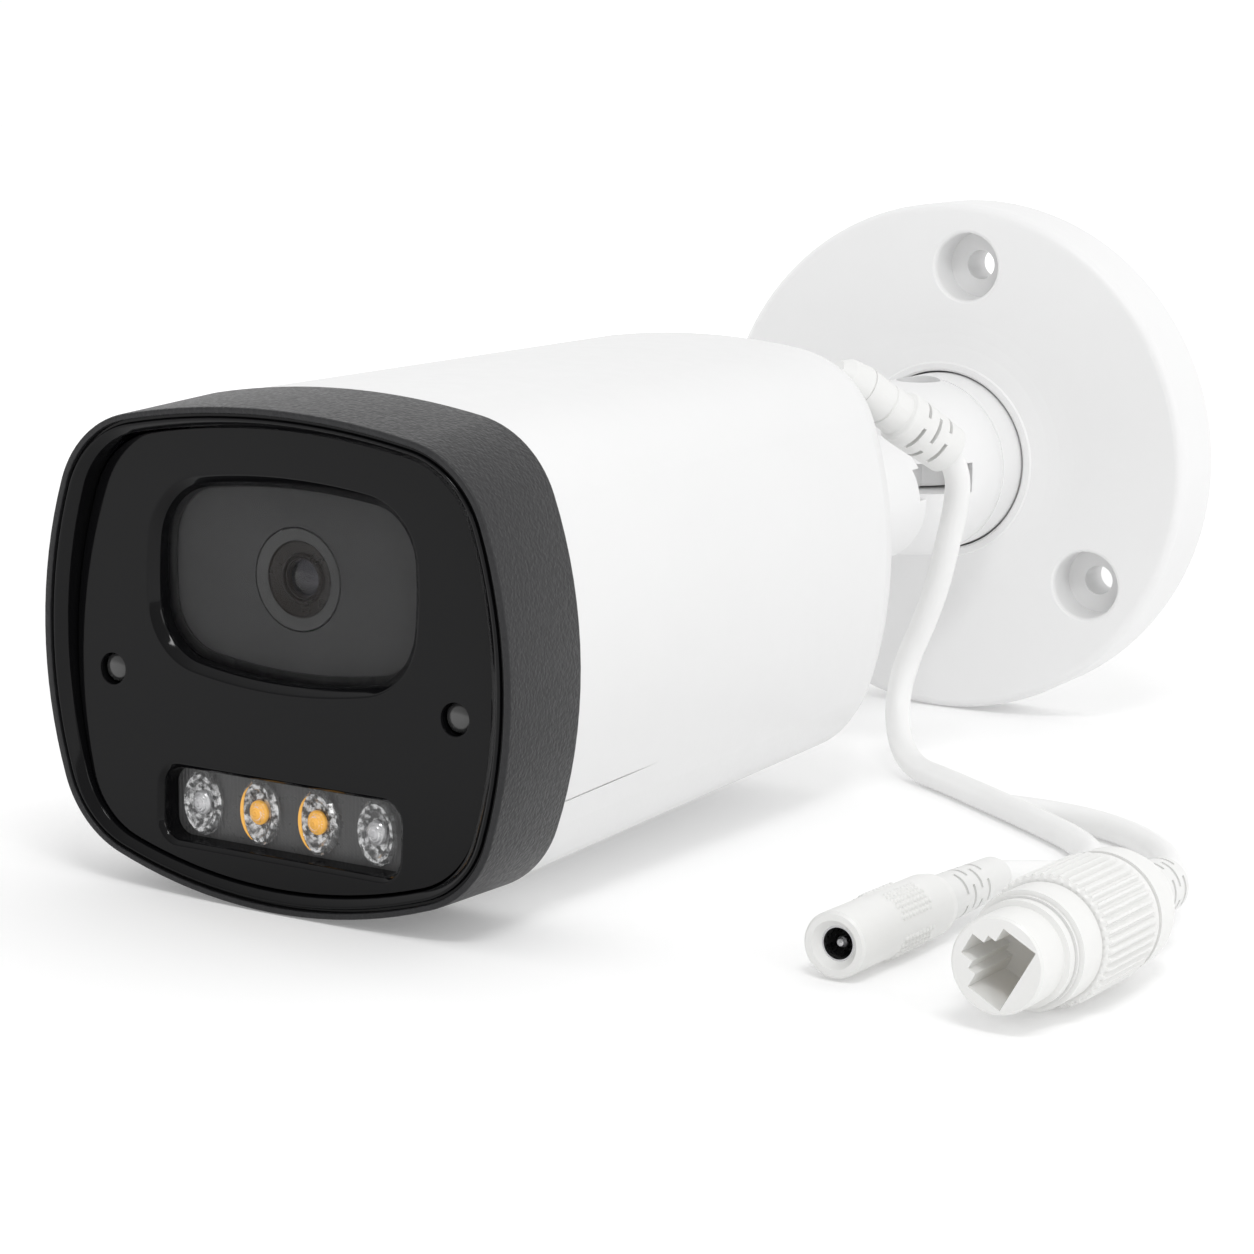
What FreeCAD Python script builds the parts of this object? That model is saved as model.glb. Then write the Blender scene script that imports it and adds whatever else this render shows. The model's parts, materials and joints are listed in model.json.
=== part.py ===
"""Bullet security camera on a wall bracket, with its cable and two connectors.

The camera is built straight, in the bracket's frame: the origin is the centre of the wall
plate's back face, +Y points into the wall, the lens looks along -Y and +Z is up.  The finished
camera then tips forward by STANCE so that it stands on its bezel and on the plate's rim.
The cables and the connectors lie on that same surface, at FLOOR_Z, and are not tipped.
Lengths are millimetres.
"""
import FreeCAD, Part
import math
import os

Vector = FreeCAD.Vector
ORIGIN = Vector(0, 0, 0)
ALONG_Y = Vector(0, 1, 0)

# ---- driving dimensions -------------------------------------------------------------------
TOTAL_LENGTH = 291.0          # wall face to the bezel's front rim
PLATE_RADIUS = 63.0
PLATE_DEPTH = 18.8
PLATE_EDGE = 2.2              # rounding of the plate's front edge
HOLE_CIRCLE = 48.0            # radius of the circle through the three wall screws
HOLE_PHASE = 84.4             # angle of the first wall screw, in degrees
SCREW_HOLE = 3.6              # radius
HEAD_DROP = 4.4               # the head's axis runs this far below the plate's axis
BALL_RADIUS = 21.8
PIN_Y = -34.0                 # the swing pin, and the ball's centre
SLOT_HEIGHT = 7.2             # gap between the ball's two cheeks
SWING_LIMIT = 45.0            # degrees each way
ARM_RADIUS = 15.2
BEZEL_DEPTH = 24.6
BEZEL_FRONT = (51.2, 45.1)    # half width and half height of the front rim
HOUSING_FRONT = (49.5, 45.9)
HOUSING_REAR = (44.6, 45.5)
HOUSING_END = -138.5          # y of the housing's rear edge
WALL = 2.6                    # wall of the housing and the covers
CABLE_RADIUS = 2.8
RUNNING = 0.05                # radial clearance of a turning fit
GAP = 0.3                     # clearance between pieces that only pass each other

RIM_Y = -TOTAL_LENGTH
PANEL_Y = RIM_Y + 3.2         # face of the glossy panel, at the height of its two round holes
PANEL_LEAN = 2.5              # degrees that the panel's face leans back at the top
FLANGE_Y = RIM_Y + 5.6        # front of the panel's flange, against the bezel
PANEL_BACK = RIM_Y + 7.4
TRAY_Y = RIM_Y + 6.6          # textured floor behind the light row
LIGHT_BOARD_Y = TRAY_Y + 2.4
BEZEL_END = RIM_Y + BEZEL_DEPTH
PLATE_FACE = -PLATE_DEPTH


def stance_degrees():
    """Angle at which the bezel's lower rim and the plate's rounded edge touch one plane."""
    reach = TOTAL_LENGTH - PLATE_DEPTH + PLATE_EDGE
    rise = PLATE_RADIUS - PLATE_EDGE - (BEZEL_FRONT[1] + HEAD_DROP)
    angle = math.asin(PLATE_EDGE / math.hypot(reach, rise)) + math.atan2(rise, reach)
    return math.degrees(angle)


STANCE = stance_degrees()
SLOPE = math.tan(math.radians(STANCE))
FLOOR_Z = -(TOTAL_LENGTH * math.sin(math.radians(STANCE))
            + (BEZEL_FRONT[1] + HEAD_DROP) * math.cos(math.radians(STANCE)))
BEZEL_REAR = (49.8, BEZEL_FRONT[1] + BEZEL_DEPTH * SLOPE)


# ---- helpers ------------------------------------------------------------------------------
def rod(radius, y_start, y_end, x=0.0, z=0.0):
    """Round bar along Y."""
    return Part.makeCylinder(radius, y_end - y_start, Vector(x, y_start, z), ALONG_Y)


def tube(outer, inner, y_start, y_end, x=0.0, z=0.0):
    return rod(outer, y_start, y_end, x, z).cut(rod(inner, y_start - 1, y_end + 1, x, z))


def post(radius, z_start, z_end, x=0.0, y=0.0):
    """Round bar along Z."""
    return Part.makeCylinder(radius, z_end - z_start, Vector(x, y, z_start))


def block(x_range, y_range, z_range):
    size = [high - low for low, high in (x_range, y_range, z_range)]
    return Part.makeBox(size[0], size[1], size[2], Vector(x_range[0], y_range[0], z_range[0]))


def turned(profile, x=0.0, z=0.0):
    """Solid of revolution about a line along Y.

    The profile is a closed list of (y, radius) corners.  A corner given as
    (y, radius, through_y, through_radius) is reached by an arc through the second point.
    """
    edges = []
    start = Vector(x + profile[0][1], profile[0][0], z)
    for corner in profile[1:] + profile[:1]:
        end = Vector(x + corner[1], corner[0], z)
        if len(corner) == 4:
            middle = Vector(x + corner[3], corner[2], z)
            edges.append(Part.Arc(start, middle, end).toShape())
        else:
            edges.append(Part.LineSegment(start, end).toShape())
        start = end
    return Part.Face(Part.Wire(edges)).revolve(Vector(x, 0, z), ALONG_Y, 360)


def circles_at(shape, y, radius):
    """The round edges of that radius in the plane at y."""
    found = []
    for edge in shape.Edges:
        box = edge.BoundBox
        if max(abs(box.YMin - y), abs(box.YMax - y), abs(box.XMax - radius)) < 0.05:
            found.append(edge)
    return found


def fused(shapes):
    shapes = list(shapes)
    return shapes[0].multiFuse(shapes[1:]).removeSplitter()


def corner_centre(half_w, half_h, side_r, end_r, corner_r):
    """Centre of the corner arc that touches a bulging side and a bulging top from inside."""
    side = (half_w - side_r, 0.0, side_r - corner_r)
    end = (0.0, half_h - end_r, end_r - corner_r)
    dx, dy = end[0] - side[0], end[1] - side[1]
    span = math.hypot(dx, dy)
    along = (side[2] ** 2 - end[2] ** 2 + span ** 2) / (2 * span)
    across = math.sqrt(side[2] ** 2 - along ** 2)
    foot = (side[0] + along * dx / span, side[1] + along * dy / span)
    return foot[0] - across * dy / span, foot[1] + across * dx / span


def outline(half_w, half_h, y, corner=20.0, side_r=88.0, top_r=160.0, bottom_r=104.0, middle=0.0):
    """Closed bulging rounded square in the plane at y, middle above the head's axis."""
    def point(x, z):
        return Vector(x, y, z + middle - HEAD_DROP)

    def arc(centre, radius, start, end):
        angles = (start, (start + end) / 2, end)
        ends = [point(centre[0] + radius * math.cos(a), centre[1] + radius * math.sin(a))
                for a in angles]
        return Part.Arc(*ends).toShape()

    up = corner_centre(half_w, half_h, side_r, top_r, corner)
    down = corner_centre(half_w, half_h, side_r, bottom_r, corner)
    side_up = math.atan2(up[1], up[0] - half_w + side_r)
    top_in = math.atan2(up[1] - half_h + top_r, up[0])
    side_down = math.atan2(down[1], down[0] - half_w + side_r)
    low_in = math.atan2(down[1] - half_h + bottom_r, down[0])
    pi = math.pi
    edges = [
        arc((half_w - side_r, 0), side_r, -side_down, side_up),
        arc(up, corner, side_up, top_in),
        arc((0, half_h - top_r), top_r, top_in, pi - top_in),
        arc((-up[0], up[1]), corner, pi - top_in, pi - side_up),
        arc((side_r - half_w, 0), side_r, pi - side_up, pi + side_down),
        arc((-down[0], -down[1]), corner, pi + side_down, pi + low_in),
        arc((0, bottom_r - half_h), bottom_r, pi + low_in, 2 * pi - low_in),
        arc((down[0], -down[1]), corner, 2 * pi - low_in, 2 * pi - side_down),
    ]
    return Part.Wire(edges)


def skin(*sections, ruled=True):
    """Solid through outlines, each given as (half_w, half_h, y[, corner])."""
    return Part.makeLoft([outline(*section) for section in sections], True, ruled)


def rounded_rectangle(x_range, z_range, radius, y):
    """Wire of a rounded rectangle, z measured from the head's axis."""
    (x0, x1), (z0, z1) = x_range, [z - HEAD_DROP for z in z_range]
    turn = radius * (1 - math.sqrt(0.5))
    corners = [
        ((x1 - radius, z0), (x1 - turn, z0 + turn), (x1, z0 + radius)),
        ((x1, z1 - radius), (x1 - turn, z1 - turn), (x1 - radius, z1)),
        ((x0 + radius, z1), (x0 + turn, z1 - turn), (x0, z1 - radius)),
        ((x0, z0 + radius), (x0 + turn, z0 + turn), (x0 + radius, z0)),
    ]
    edges = []
    for index, corner in enumerate(corners):
        start, middle, end = [Vector(x, y, z) for x, z in corner]
        following = corners[(index + 1) % 4][0]
        edges.append(Part.Arc(start, middle, end).toShape())
        edges.append(Part.LineSegment(end, Vector(following[0], y, following[1])).toShape())
    return Part.Wire(edges)


def rounded_plate(x_range, z_range, radius, y_start, y_end):
    face = Part.Face(rounded_rectangle(x_range, z_range, radius, y_start))
    return face.extrude(Vector(0, y_end - y_start, 0))


def placed(shape, origin, direction):
    """Move a shape built along +Y at the origin to another line."""
    turn = FreeCAD.Rotation(ALONG_Y, direction)
    moved = shape.copy()
    moved.Placement = FreeCAD.Placement(origin, turn)
    return moved


# ---- wall bracket -------------------------------------------------------------------------
LIP_Y = PLATE_FACE - 1.6      # top of the raised lip round the ball
WELL_Y = -13.6                # floor of the well that the ball sits in
HUB_REAR = -7.2               # back of the hub that carries the turret
RETAINER_Y = HUB_REAR + 1.4   # end of the turret's stub, where the retainer is screwed on
STUB_RADIUS = 14.0
SKIN_BACK = -15.4             # inside of the plate's front skin


def wall_screw_places():
    for index in range(3):
        angle = math.radians(HOLE_PHASE + 120 * index)
        yield HOLE_CIRCLE * math.cos(angle), HOLE_CIRCLE * math.sin(angle)


def wall_plate():
    disc = turned([(0, 0), (0, PLATE_RADIUS), (PLATE_FACE, PLATE_RADIUS), (PLATE_FACE, 35.0),
                   (PLATE_FACE - 0.15, 31.5), (PLATE_FACE - 0.45, 28.6), (PLATE_FACE - 0.9, 26.0),
                   (LIP_Y + 0.4, 24.4), (LIP_Y, 24.0), (LIP_Y, 22.6), (LIP_Y + 0.4, 22.1),
                   (WELL_Y, 21.95), (WELL_Y, 0)])
    disc = disc.makeFillet(PLATE_EDGE, circles_at(disc, PLATE_FACE, PLATE_RADIUS))
    hollow = tube(PLATE_RADIUS - 3.4, 27.5, SKIN_BACK, 1)
    keep = [rod(12.4, SKIN_BACK - 1, 0, x, z) for x, z in wall_screw_places()]
    keep.append(tube(42.6, 40.6, SKIN_BACK - 1, 0))
    for index in range(6):
        rib = block((26.0, PLATE_RADIUS - 2.0), (SKIN_BACK - 1, 0), (-1.2, 1.2))
        rib.rotate(ORIGIN, ALONG_Y, -HOLE_PHASE + 60 * index + 30)
        keep.append(rib)
    disc = disc.cut(hollow.cut(fused(keep)))
    cuts = [rod(STUB_RADIUS + RUNNING, -20, 1), rod(20.4, HUB_REAR, 1)]
    for x, z in wall_screw_places():
        cuts.append(rod(SCREW_HOLE, -25, 1, x, z))
        cuts.append(turned([(-10.0, 0), (-10.0, 8.0), (PLATE_FACE + 1.0, 8.2),
                            (PLATE_FACE + 0.3, 8.5), (PLATE_FACE - 0.1, 9.2),
                            (-30, 9.2), (-30, 0)], x, z))
    return disc.cut(fused(cuts))


def swing_sector():
    """Plan shape that the arm's tongue sweeps, out to beyond the ball."""
    half = 6.8
    reach = 45.0
    swing = math.radians(SWING_LIMIT + 1.0)
    right_in = Vector(half * math.cos(swing), half * math.sin(swing), 0)
    right_out = right_in + Vector(reach * math.sin(swing), -reach * math.cos(swing), 0)
    points = [right_in, right_out, Vector(0, -2 * reach, 0),
              Vector(-right_out.x, right_out.y, 0), Vector(-right_in.x, right_in.y, 0)]
    points = [item + Vector(0, PIN_Y, -SLOT_HEIGHT / 2) for item in points]
    face = Part.Face(Part.makePolygon(points + points[:1]))
    eye = post(12.6, -SLOT_HEIGHT / 2, SLOT_HEIGHT / 2, 0, PIN_Y)
    return face.extrude(Vector(0, 0, SLOT_HEIGHT)).fuse(eye)


def turret():
    ball = Part.makeSphere(BALL_RADIUS, Vector(0, PIN_Y, 0))
    stub = rod(STUB_RADIUS, PIN_Y + 10, RETAINER_Y)
    shoulder = rod(BALL_RADIUS - 0.15, PIN_Y + 4.0, WELL_Y - RUNNING)
    body = ball.common(block((-30, 30), (-60, WELL_Y - 1.2), (-30, 30))).fuse([stub, shoulder])
    cuts = [swing_sector(), post(3.0 + RUNNING, -22, 22, 0, PIN_Y),
            post(5.4, 13.6, 25, 0, PIN_Y), post(6.0, -25, -13.6, 0, PIN_Y)]
    for index in range(3):
        angle = math.radians(90 + 120 * index)
        cuts.append(rod(1.2, -16, 0, 9.5 * math.cos(angle), 9.5 * math.sin(angle)))
    return body.cut(fused(cuts))


def turret_washer():
    """Spring washer that gives the turret its drag against the hub."""
    return tube(18.2, STUB_RADIUS + 0.2, HUB_REAR + RUNNING, HUB_REAR + 0.6)


def turret_retainer():
    disc = rod(19.0, HUB_REAR + 0.6, RETAINER_Y + 2.2)
    disc = disc.cut(rod(STUB_RADIUS + 0.05, HUB_REAR, RETAINER_Y))
    holes = [rod(1.6, -20, 5, 9.5 * math.cos(a), 9.5 * math.sin(a)) for a in retainer_angles()]
    return disc.cut(fused(holes))


def retainer_angles():
    return [math.radians(90 + 120 * index) for index in range(3)]


def screw_along_y(radius, head_radius, x, z, seat_y, length, head):
    """Pan-head screw whose head stands on seat_y towards +Y."""
    shank = rod(radius, seat_y - length, seat_y, x, z)
    cap = turned([(seat_y, 0), (seat_y, head_radius), (seat_y + 0.6 * head, head_radius),
                  (seat_y + head, 0.6 * head_radius), (seat_y + head, 0)], x, z)
    slot = block((x - head_radius, x + head_radius), (seat_y + 0.5 * head, seat_y + head + 1),
                 (z - 0.3, z + 0.3))
    cross = block((x - 0.3, x + 0.3), (seat_y + 0.5 * head, seat_y + head + 1),
                  (z - head_radius, z + head_radius))
    return shank.fuse(cap).cut(slot.fuse(cross))


def retainer_screws():
    screws = []
    for angle in retainer_angles():
        x, z = 9.5 * math.cos(angle), 9.5 * math.sin(angle)
        screws.append(screw_along_y(1.2, 2.6, x, z, RETAINER_Y + 2.2, 9.0, 1.6))
    return Part.makeCompound(screws)


def swing_screw():
    """Socket-head screw through both cheeks; the arm turns on its shank."""
    shank = post(3.0, -18.0, 13.6, 0, PIN_Y)
    head = post(5.0, 13.6, 17.6, 0, PIN_Y)
    points = [Vector(2.2 * math.cos(a), PIN_Y + 2.2 * math.sin(a), 15.2)
              for a in [math.radians(60 * index) for index in range(6)]]
    socket = Part.Face(Part.makePolygon(points + points[:1])).extrude(Vector(0, 0, 5))
    return shank.fuse(head).cut(socket)


def swing_nut():
    points = [Vector(5.6 * math.cos(a), PIN_Y + 5.6 * math.sin(a), -17.6)
              for a in [math.radians(60 * index) for index in range(6)]]
    body = Part.Face(Part.makePolygon(points + points[:1])).extrude(Vector(0, 0, 4))
    return body.cut(post(3.0, -25, 0, 0, PIN_Y))


# ---- arm between the ball and the head ----------------------------------------------------
ARM_FACE = -58.3              # rear rim of the arm's drum, beside the ball
ARM_STEP = -81.0              # the drum steps out to its shoulder here
ARM_SHOULDER = -93.6
STEM_RADIUS = 13.0
STEM_END = -137.0
TONGUE = 6.0                  # thickness


def swivel_arm():
    axis = -HEAD_DROP
    drum = turned([(ARM_FACE, 0), (ARM_FACE, ARM_RADIUS - 0.8), (ARM_FACE - 0.8, ARM_RADIUS),
                   (ARM_STEP, ARM_RADIUS), (ARM_STEP, 16.4), (ARM_STEP - 0.6, 17.0),
                   (ARM_SHOULDER, 17.0), (ARM_SHOULDER, STEM_RADIUS), (-131.2, STEM_RADIUS),
                   (-131.2, 10.0), (STEM_END, 10.0), (STEM_END, 0)], 0, axis)
    notch = block((-20, 20), (ARM_FACE - 4.2, ARM_FACE + 1), (-SLOT_HEIGHT / 2, SLOT_HEIGHT / 2))
    bar = block((-6.5, 6.5), (ARM_FACE - 6.0, PIN_Y), (-TONGUE / 2, TONGUE / 2))
    eye = post(12.0, -TONGUE / 2, TONGUE / 2, 0, PIN_Y)
    arm = drum.cut(notch).fuse([bar, eye])
    return arm.cut(post(3.0 + RUNNING, -10, 10, 0, PIN_Y)).removeSplitter()


def swing_washers():
    washers = []
    for low in (TONGUE / 2, -SLOT_HEIGHT / 2 + 0.05):
        ring = post(9.0, low, low + 0.5, 0, PIN_Y).cut(post(3.2, -10, 10, 0, PIN_Y))
        washers.append(ring)
    washers[1].translate(Vector(0, 0, -TONGUE / 2 - 0.5 - (-SLOT_HEIGHT / 2 + 0.05)))
    return Part.makeCompound(washers)


def stem_nut():
    """Keeps the arm's stem in the rear cover and lets the head roll."""
    return tube(17.0, 10.0, -135.6, -131.2, 0, -HEAD_DROP)


# ---- head: covers -------------------------------------------------------------------------
COVER_FACE = -127.0           # flat rear of the rear cover
BOSS_END = -98.0
LOCK_RING = (-117.4, -94.0)
GASKET_GROOVE = (HOUSING_END - 3.4, HOUSING_END - 2.0)


def main_housing():
    front, rear = BEZEL_END + 0.2, HOUSING_END
    outer = skin((*HOUSING_FRONT, front), (*HOUSING_REAR, rear))
    inner = skin((HOUSING_FRONT[0] - WALL, HOUSING_FRONT[1] - WALL, front - 1, 18.0),
                 (HOUSING_REAR[0] - WALL, HOUSING_REAR[1] - WALL, rear + 1, 18.0))
    spigot = skin((47.1, 43.4, front - 6.0), (47.1, 43.4, front + 4.0))
    bore = skin((44.8, 41.1, front - 7.0, 18.0), (44.8, 41.1, front + 5.0, 18.0))
    body = outer.cut(inner).fuse(spigot.cut(bore))
    seam = block((45.0, 55.0), (BEZEL_END - 1, BEZEL_END + 52.0), (-28.0, -27.7))
    groove = seam.cut(skin((HOUSING_FRONT[0] - 0.35, HOUSING_FRONT[1], front - 2),
                           (HOUSING_REAR[0] - 0.35, HOUSING_REAR[1], rear + 2)))
    return body.cut(groove).removeSplitter()


def rear_cover():
    axis = -HEAD_DROP
    start = HOUSING_END + 0.2
    dome = skin((44.4, 45.3, start), (43.2, 44.1, start + 5.5), (40.2, 41.2, start + 9.3),
                (36.0, 37.0, COVER_FACE))
    hollow = skin((41.6, 42.5, start - 1, 18.0), (40.4, 41.3, start + 4.6, 18.0),
                  (36.0, 37.0, start + 8.2, 16.0))
    spigot = skin((41.7, 42.6, start - 5.0, 18.0), (41.7, 42.6, start + 1.0, 18.0))
    low, high = GASKET_GROOVE
    groove = skin((44.0, 45.0, low, 19.0), (44.0, 45.0, high, 19.0)).cut(
        skin((40.7, 41.6, low - 1, 17.0), (40.7, 41.6, high + 1, 17.0)))
    bore = skin((39.5, 40.4, start - 6.0, 16.0), (39.5, 40.4, start + 1.5, 16.0))
    boss = turned([(-131.0, 0), (-131.0, 22.0), (COVER_FACE, 22.0), (-121.0, 19.6),
                   (LOCK_RING[0] - 0.4, 19.6), (LOCK_RING[0] - 0.4, 16.4), (BOSS_END, 16.4),
                   (BOSS_END, 0)], 0, axis)
    body = fused([dome.cut(hollow), spigot.cut(bore).cut(groove), boss, gland_boss(dome)])
    return body.cut(fused([rod(STEM_RADIUS + RUNNING, -150, -90, 0, axis), gland_hole()]))


def rear_gasket():
    """Ring in the groove of the cover's spigot."""
    low, high = GASKET_GROOVE[0] + 0.05, GASKET_GROOVE[1] - 0.05
    ring = skin((41.9, 42.8, low, 18.0), (41.9, 42.8, high, 18.0))
    return ring.cut(skin((40.75, 41.65, low - 1, 17.0), (40.75, 41.65, high + 1, 17.0)))


def roll_lock_ring():
    """Knurled ring on the cover's thread; it closes on the arm's shoulder and stops the roll."""
    axis = -HEAD_DROP
    low, high = LOCK_RING
    ring = turned([(low, 16.4), (low, 19.0), (low + 0.8, 19.8), (high - 0.8, 19.8),
                   (high, 19.0), (high, 17.2), (high - 3.6, 17.2), (high - 3.6, 16.4)], 0, axis)
    flutes = []
    for index in range(24):
        angle = math.radians(15 * index)
        flutes.append(rod(1.1, low + 3.0, high - 3.0,
                          20.2 * math.cos(angle), axis + 20.2 * math.sin(angle)))
    return ring.cut(fused(flutes))


def front_bezel():
    outer = skin((*BEZEL_FRONT, RIM_Y), (*BEZEL_REAR, BEZEL_END))
    lip = skin((48.6, 42.8, RIM_Y - 0.01, 17.8), (46.6, 41.5, RIM_Y + 1.2, 16.5))
    mouth = skin((46.6, 41.5, RIM_Y + 1.1, 16.5), (46.5, 41.4, FLANGE_Y + 0.1, 16.5))
    pocket = skin((47.3, 42.2, FLANGE_Y, 17.0), (47.3, 42.2, BEZEL_END + 1, 18.0))
    groove = skin((49.8, 43.9, RIM_Y - 1, 19.0), (49.8, 43.9, RIM_Y + 0.8, 19.0)).cut(
        skin((49.1, 43.2, RIM_Y - 2, 18.5), (49.1, 43.2, RIM_Y + 1.8, 18.5)))
    body = outer
    for cut in (lip, mouth, pocket, groove):
        body = body.cut(cut)
    recess = skin((47.4, 43.7, BEZEL_END - 7.0, 19.0), (47.4, 43.7, BEZEL_END + 1, 19.0))
    return body.cut(recess).removeSplitter()


def bezel_gasket():
    back = BEZEL_END + 0.2 - 6.0
    ring = skin((46.9, 42.9, back - 0.9, 19.0), (46.9, 42.9, back, 19.0))
    return ring.cut(skin((45.0, 41.3, back - 3, 18.0), (45.0, 41.3, back + 3, 18.0)))


# ---- head: front panel, windows and light row ---------------------------------------------
WINDOW = (27.9, 17.3)         # half width and half height of the clear opening
WINDOW_Z = 13.5               # its middle, above the head's axis
LIGHT_SLOT = ((-27.0, 27.4), (-36.4, -21.2))
LIGHTS_Z = -28.8
LIGHT_PITCH = 13.0
LIGHT_SIZE = (4.35, 6.1)      # half width and half height of one light's lens
SENSOR_HOLES = ((-37.8, -5.6), (37.8, -5.6))
SENSOR_HOLE = 2.9             # radius
LENS_Z = 13.8


def grown(box, amount):
    return tuple((low - amount, high + amount) for low, high in box)


def leaning(shape):
    """Tip a shape back with the panel's face."""
    shape.rotate(Vector(0, PANEL_Y, SENSOR_HOLES[0][1] - HEAD_DROP), Vector(1, 0, 0), -PANEL_LEAN)
    return shape


def window_shape(grow, y):
    """Bulging outline of the window, grown by some mm."""
    return outline(WINDOW[0] + grow, WINDOW[1] + grow, y, 11.0 + grow, 75.0, 130.0, 105.0, WINDOW_Z)


def window_plate(grow, y_start, y_end):
    face = Part.Face(window_shape(grow, y_start))
    return face.extrude(Vector(0, y_end - y_start, 0))


def light_places():
    return [(LIGHT_PITCH * (index - 1.5), LIGHTS_Z - HEAD_DROP) for index in range(4)]


def oval(half_w, half_h, x, y, z):
    """Wire of an upright ellipse."""
    curve = Part.Ellipse(Vector(x, y, z + half_h), Vector(x + half_w, y, z), Vector(x, y, z))
    return Part.Wire(curve.toShape())


def oval_loft(x, z, sections):
    """Solid through upright ellipses, each given as (y, scale of LIGHT_SIZE)."""
    wires = [oval(LIGHT_SIZE[0] * scale, LIGHT_SIZE[1] * scale, x, y, z) for y, scale in sections]
    return Part.makeLoft(wires, True, True)


def front_panel():
    """Glossy panel: a flange held behind the bezel's mouth and a leaning face in front of it."""
    flange = skin((47.1, 42.0, FLANGE_Y, 17.0), (47.1, 42.0, PANEL_BACK, 17.0))
    front = skin((46.2, 41.1, RIM_Y, 16.3), (46.2, 41.1, FLANGE_Y + 0.5, 16.3))
    ahead = leaning(block((-60, 60), (PANEL_Y - 30, PANEL_Y), (-70, 70)))
    plate = front.cut(ahead).fuse(flange)
    window = Part.makeLoft([window_shape(0.4, PANEL_Y - 1), window_shape(0.0, PANEL_BACK + 0.01)],
                           True, True)
    window_bevel = Part.makeLoft([window_shape(1.9, PANEL_Y - 0.01),
                                  window_shape(0.2, PANEL_Y + 1.6)], True, True)
    steps = [(-0.8, 3.8, PANEL_Y - 1), (-1.2, 3.4, TRAY_Y + 0.01)]
    slot = Part.makeLoft([rounded_rectangle(*grown(LIGHT_SLOT, grow), radius, y)
                          for grow, radius, y in steps], True, True)
    steps = [(0.0, 4.6, PANEL_Y - 0.01), (-0.9, 3.7, PANEL_Y + 0.9)]
    slot_bevel = Part.makeLoft([rounded_rectangle(*grown(LIGHT_SLOT, grow), radius, y)
                                for grow, radius, y in steps], True, True)
    tray_seat = rounded_plate(*grown(LIGHT_SLOT, 1.3), 4.9, TRAY_Y, PANEL_BACK + 1)
    holes = [rod(SENSOR_HOLE, RIM_Y, PANEL_BACK + 1, x, z - HEAD_DROP) for x, z in SENSOR_HOLES]
    cuts = [window, leaning(window_bevel), slot, leaning(slot_bevel), tray_seat]
    return plate.cut(fused(cuts)).cut(fused(holes))


def window_glass():
    return window_plate(1.0, PANEL_BACK, PANEL_BACK + 1.4)


def window_gasket():
    ring = window_plate(1.0, PANEL_BACK + 1.4, PANEL_BACK + 2.0)
    return ring.cut(window_plate(-0.8, PANEL_BACK + 1, PANEL_BACK + 3))


def lens_baffle():
    """Plate behind the window that hides the inside and frames the lens."""
    plate = window_plate(2.2, PANEL_BACK + 2.0, PANEL_BACK + 3.2)
    return plate.cut(rod(9.5, PANEL_BACK + 1, PANEL_BACK + 5, 0, LENS_Z - HEAD_DROP))


def light_tray():
    plate = rounded_plate(*grown(LIGHT_SLOT, 1.0), 4.6, TRAY_Y, TRAY_Y + 1.0)
    wells = [oval_loft(x, z, [(TRAY_Y - 1, 1.04), (TRAY_Y + 2, 1.04)]) for x, z in light_places()]
    return plate.cut(fused(wells))


def light_lenses():
    """Clear oval collimator over each light, with a round crown."""
    lenses = []
    for x, z in light_places():
        body = oval_loft(x, z, [(TRAY_Y + 1.0, 0.8), (TRAY_Y - 0.4, 1.0), (TRAY_Y - 1.0, 1.0),
                                (TRAY_Y - 1.5, 0.8)])
        crown = turned([(TRAY_Y - 1.0, 0), (TRAY_Y - 1.0, 2.6), (TRAY_Y - 1.9, 2.2),
                        (TRAY_Y - 2.4, 1.2), (TRAY_Y - 2.5, 0)], x, z)
        foot = rod(3.2, TRAY_Y + 0.5, LIGHT_BOARD_Y, x, z)
        lenses.append(fused([body, crown, foot]).cut(rod(1.9, TRAY_Y + 1.4, TRAY_Y + 5, x, z)))
    return Part.makeCompound(lenses)


def light_board():
    board = block((-29.5, 29.5), (LIGHT_BOARD_Y, LIGHT_BOARD_Y + 1.6),
                  (LIGHTS_Z - 8.0 - HEAD_DROP, LIGHTS_Z + 8.0 - HEAD_DROP))
    holes = [rod(1.3, LIGHT_BOARD_Y - 1, LIGHT_BOARD_Y + 3, x, LIGHTS_Z - HEAD_DROP)
             for x in (-27.6, 27.6)]
    return board.cut(fused(holes))


def light_chips(indices):
    chips = []
    for index in indices:
        x, z = light_places()[index]
        chips.append(block((x - 1.2, x + 1.2), (LIGHT_BOARD_Y - 0.9, LIGHT_BOARD_Y),
                           (z - 1.2, z + 1.2)))
    return Part.makeCompound(chips)


def sensor_plug(index):
    """Small clear-fronted plug seated behind one of the panel's two round holes."""
    x, z = SENSOR_HOLES[index]
    z -= HEAD_DROP
    return turned([(PANEL_BACK - 3.4, 0), (PANEL_BACK - 3.1, 1.3), (PANEL_BACK - 2.2, 2.3),
                   (PANEL_BACK - 1.2, 2.7), (PANEL_BACK, 2.7), (PANEL_BACK, 3.6),
                   (PANEL_BACK + 3.0, 3.6), (PANEL_BACK + 3.0, 0)], x, z)


# ---- head: lens and electronics -----------------------------------------------------------
LENS_FRONT = PANEL_BACK + 1.9


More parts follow.
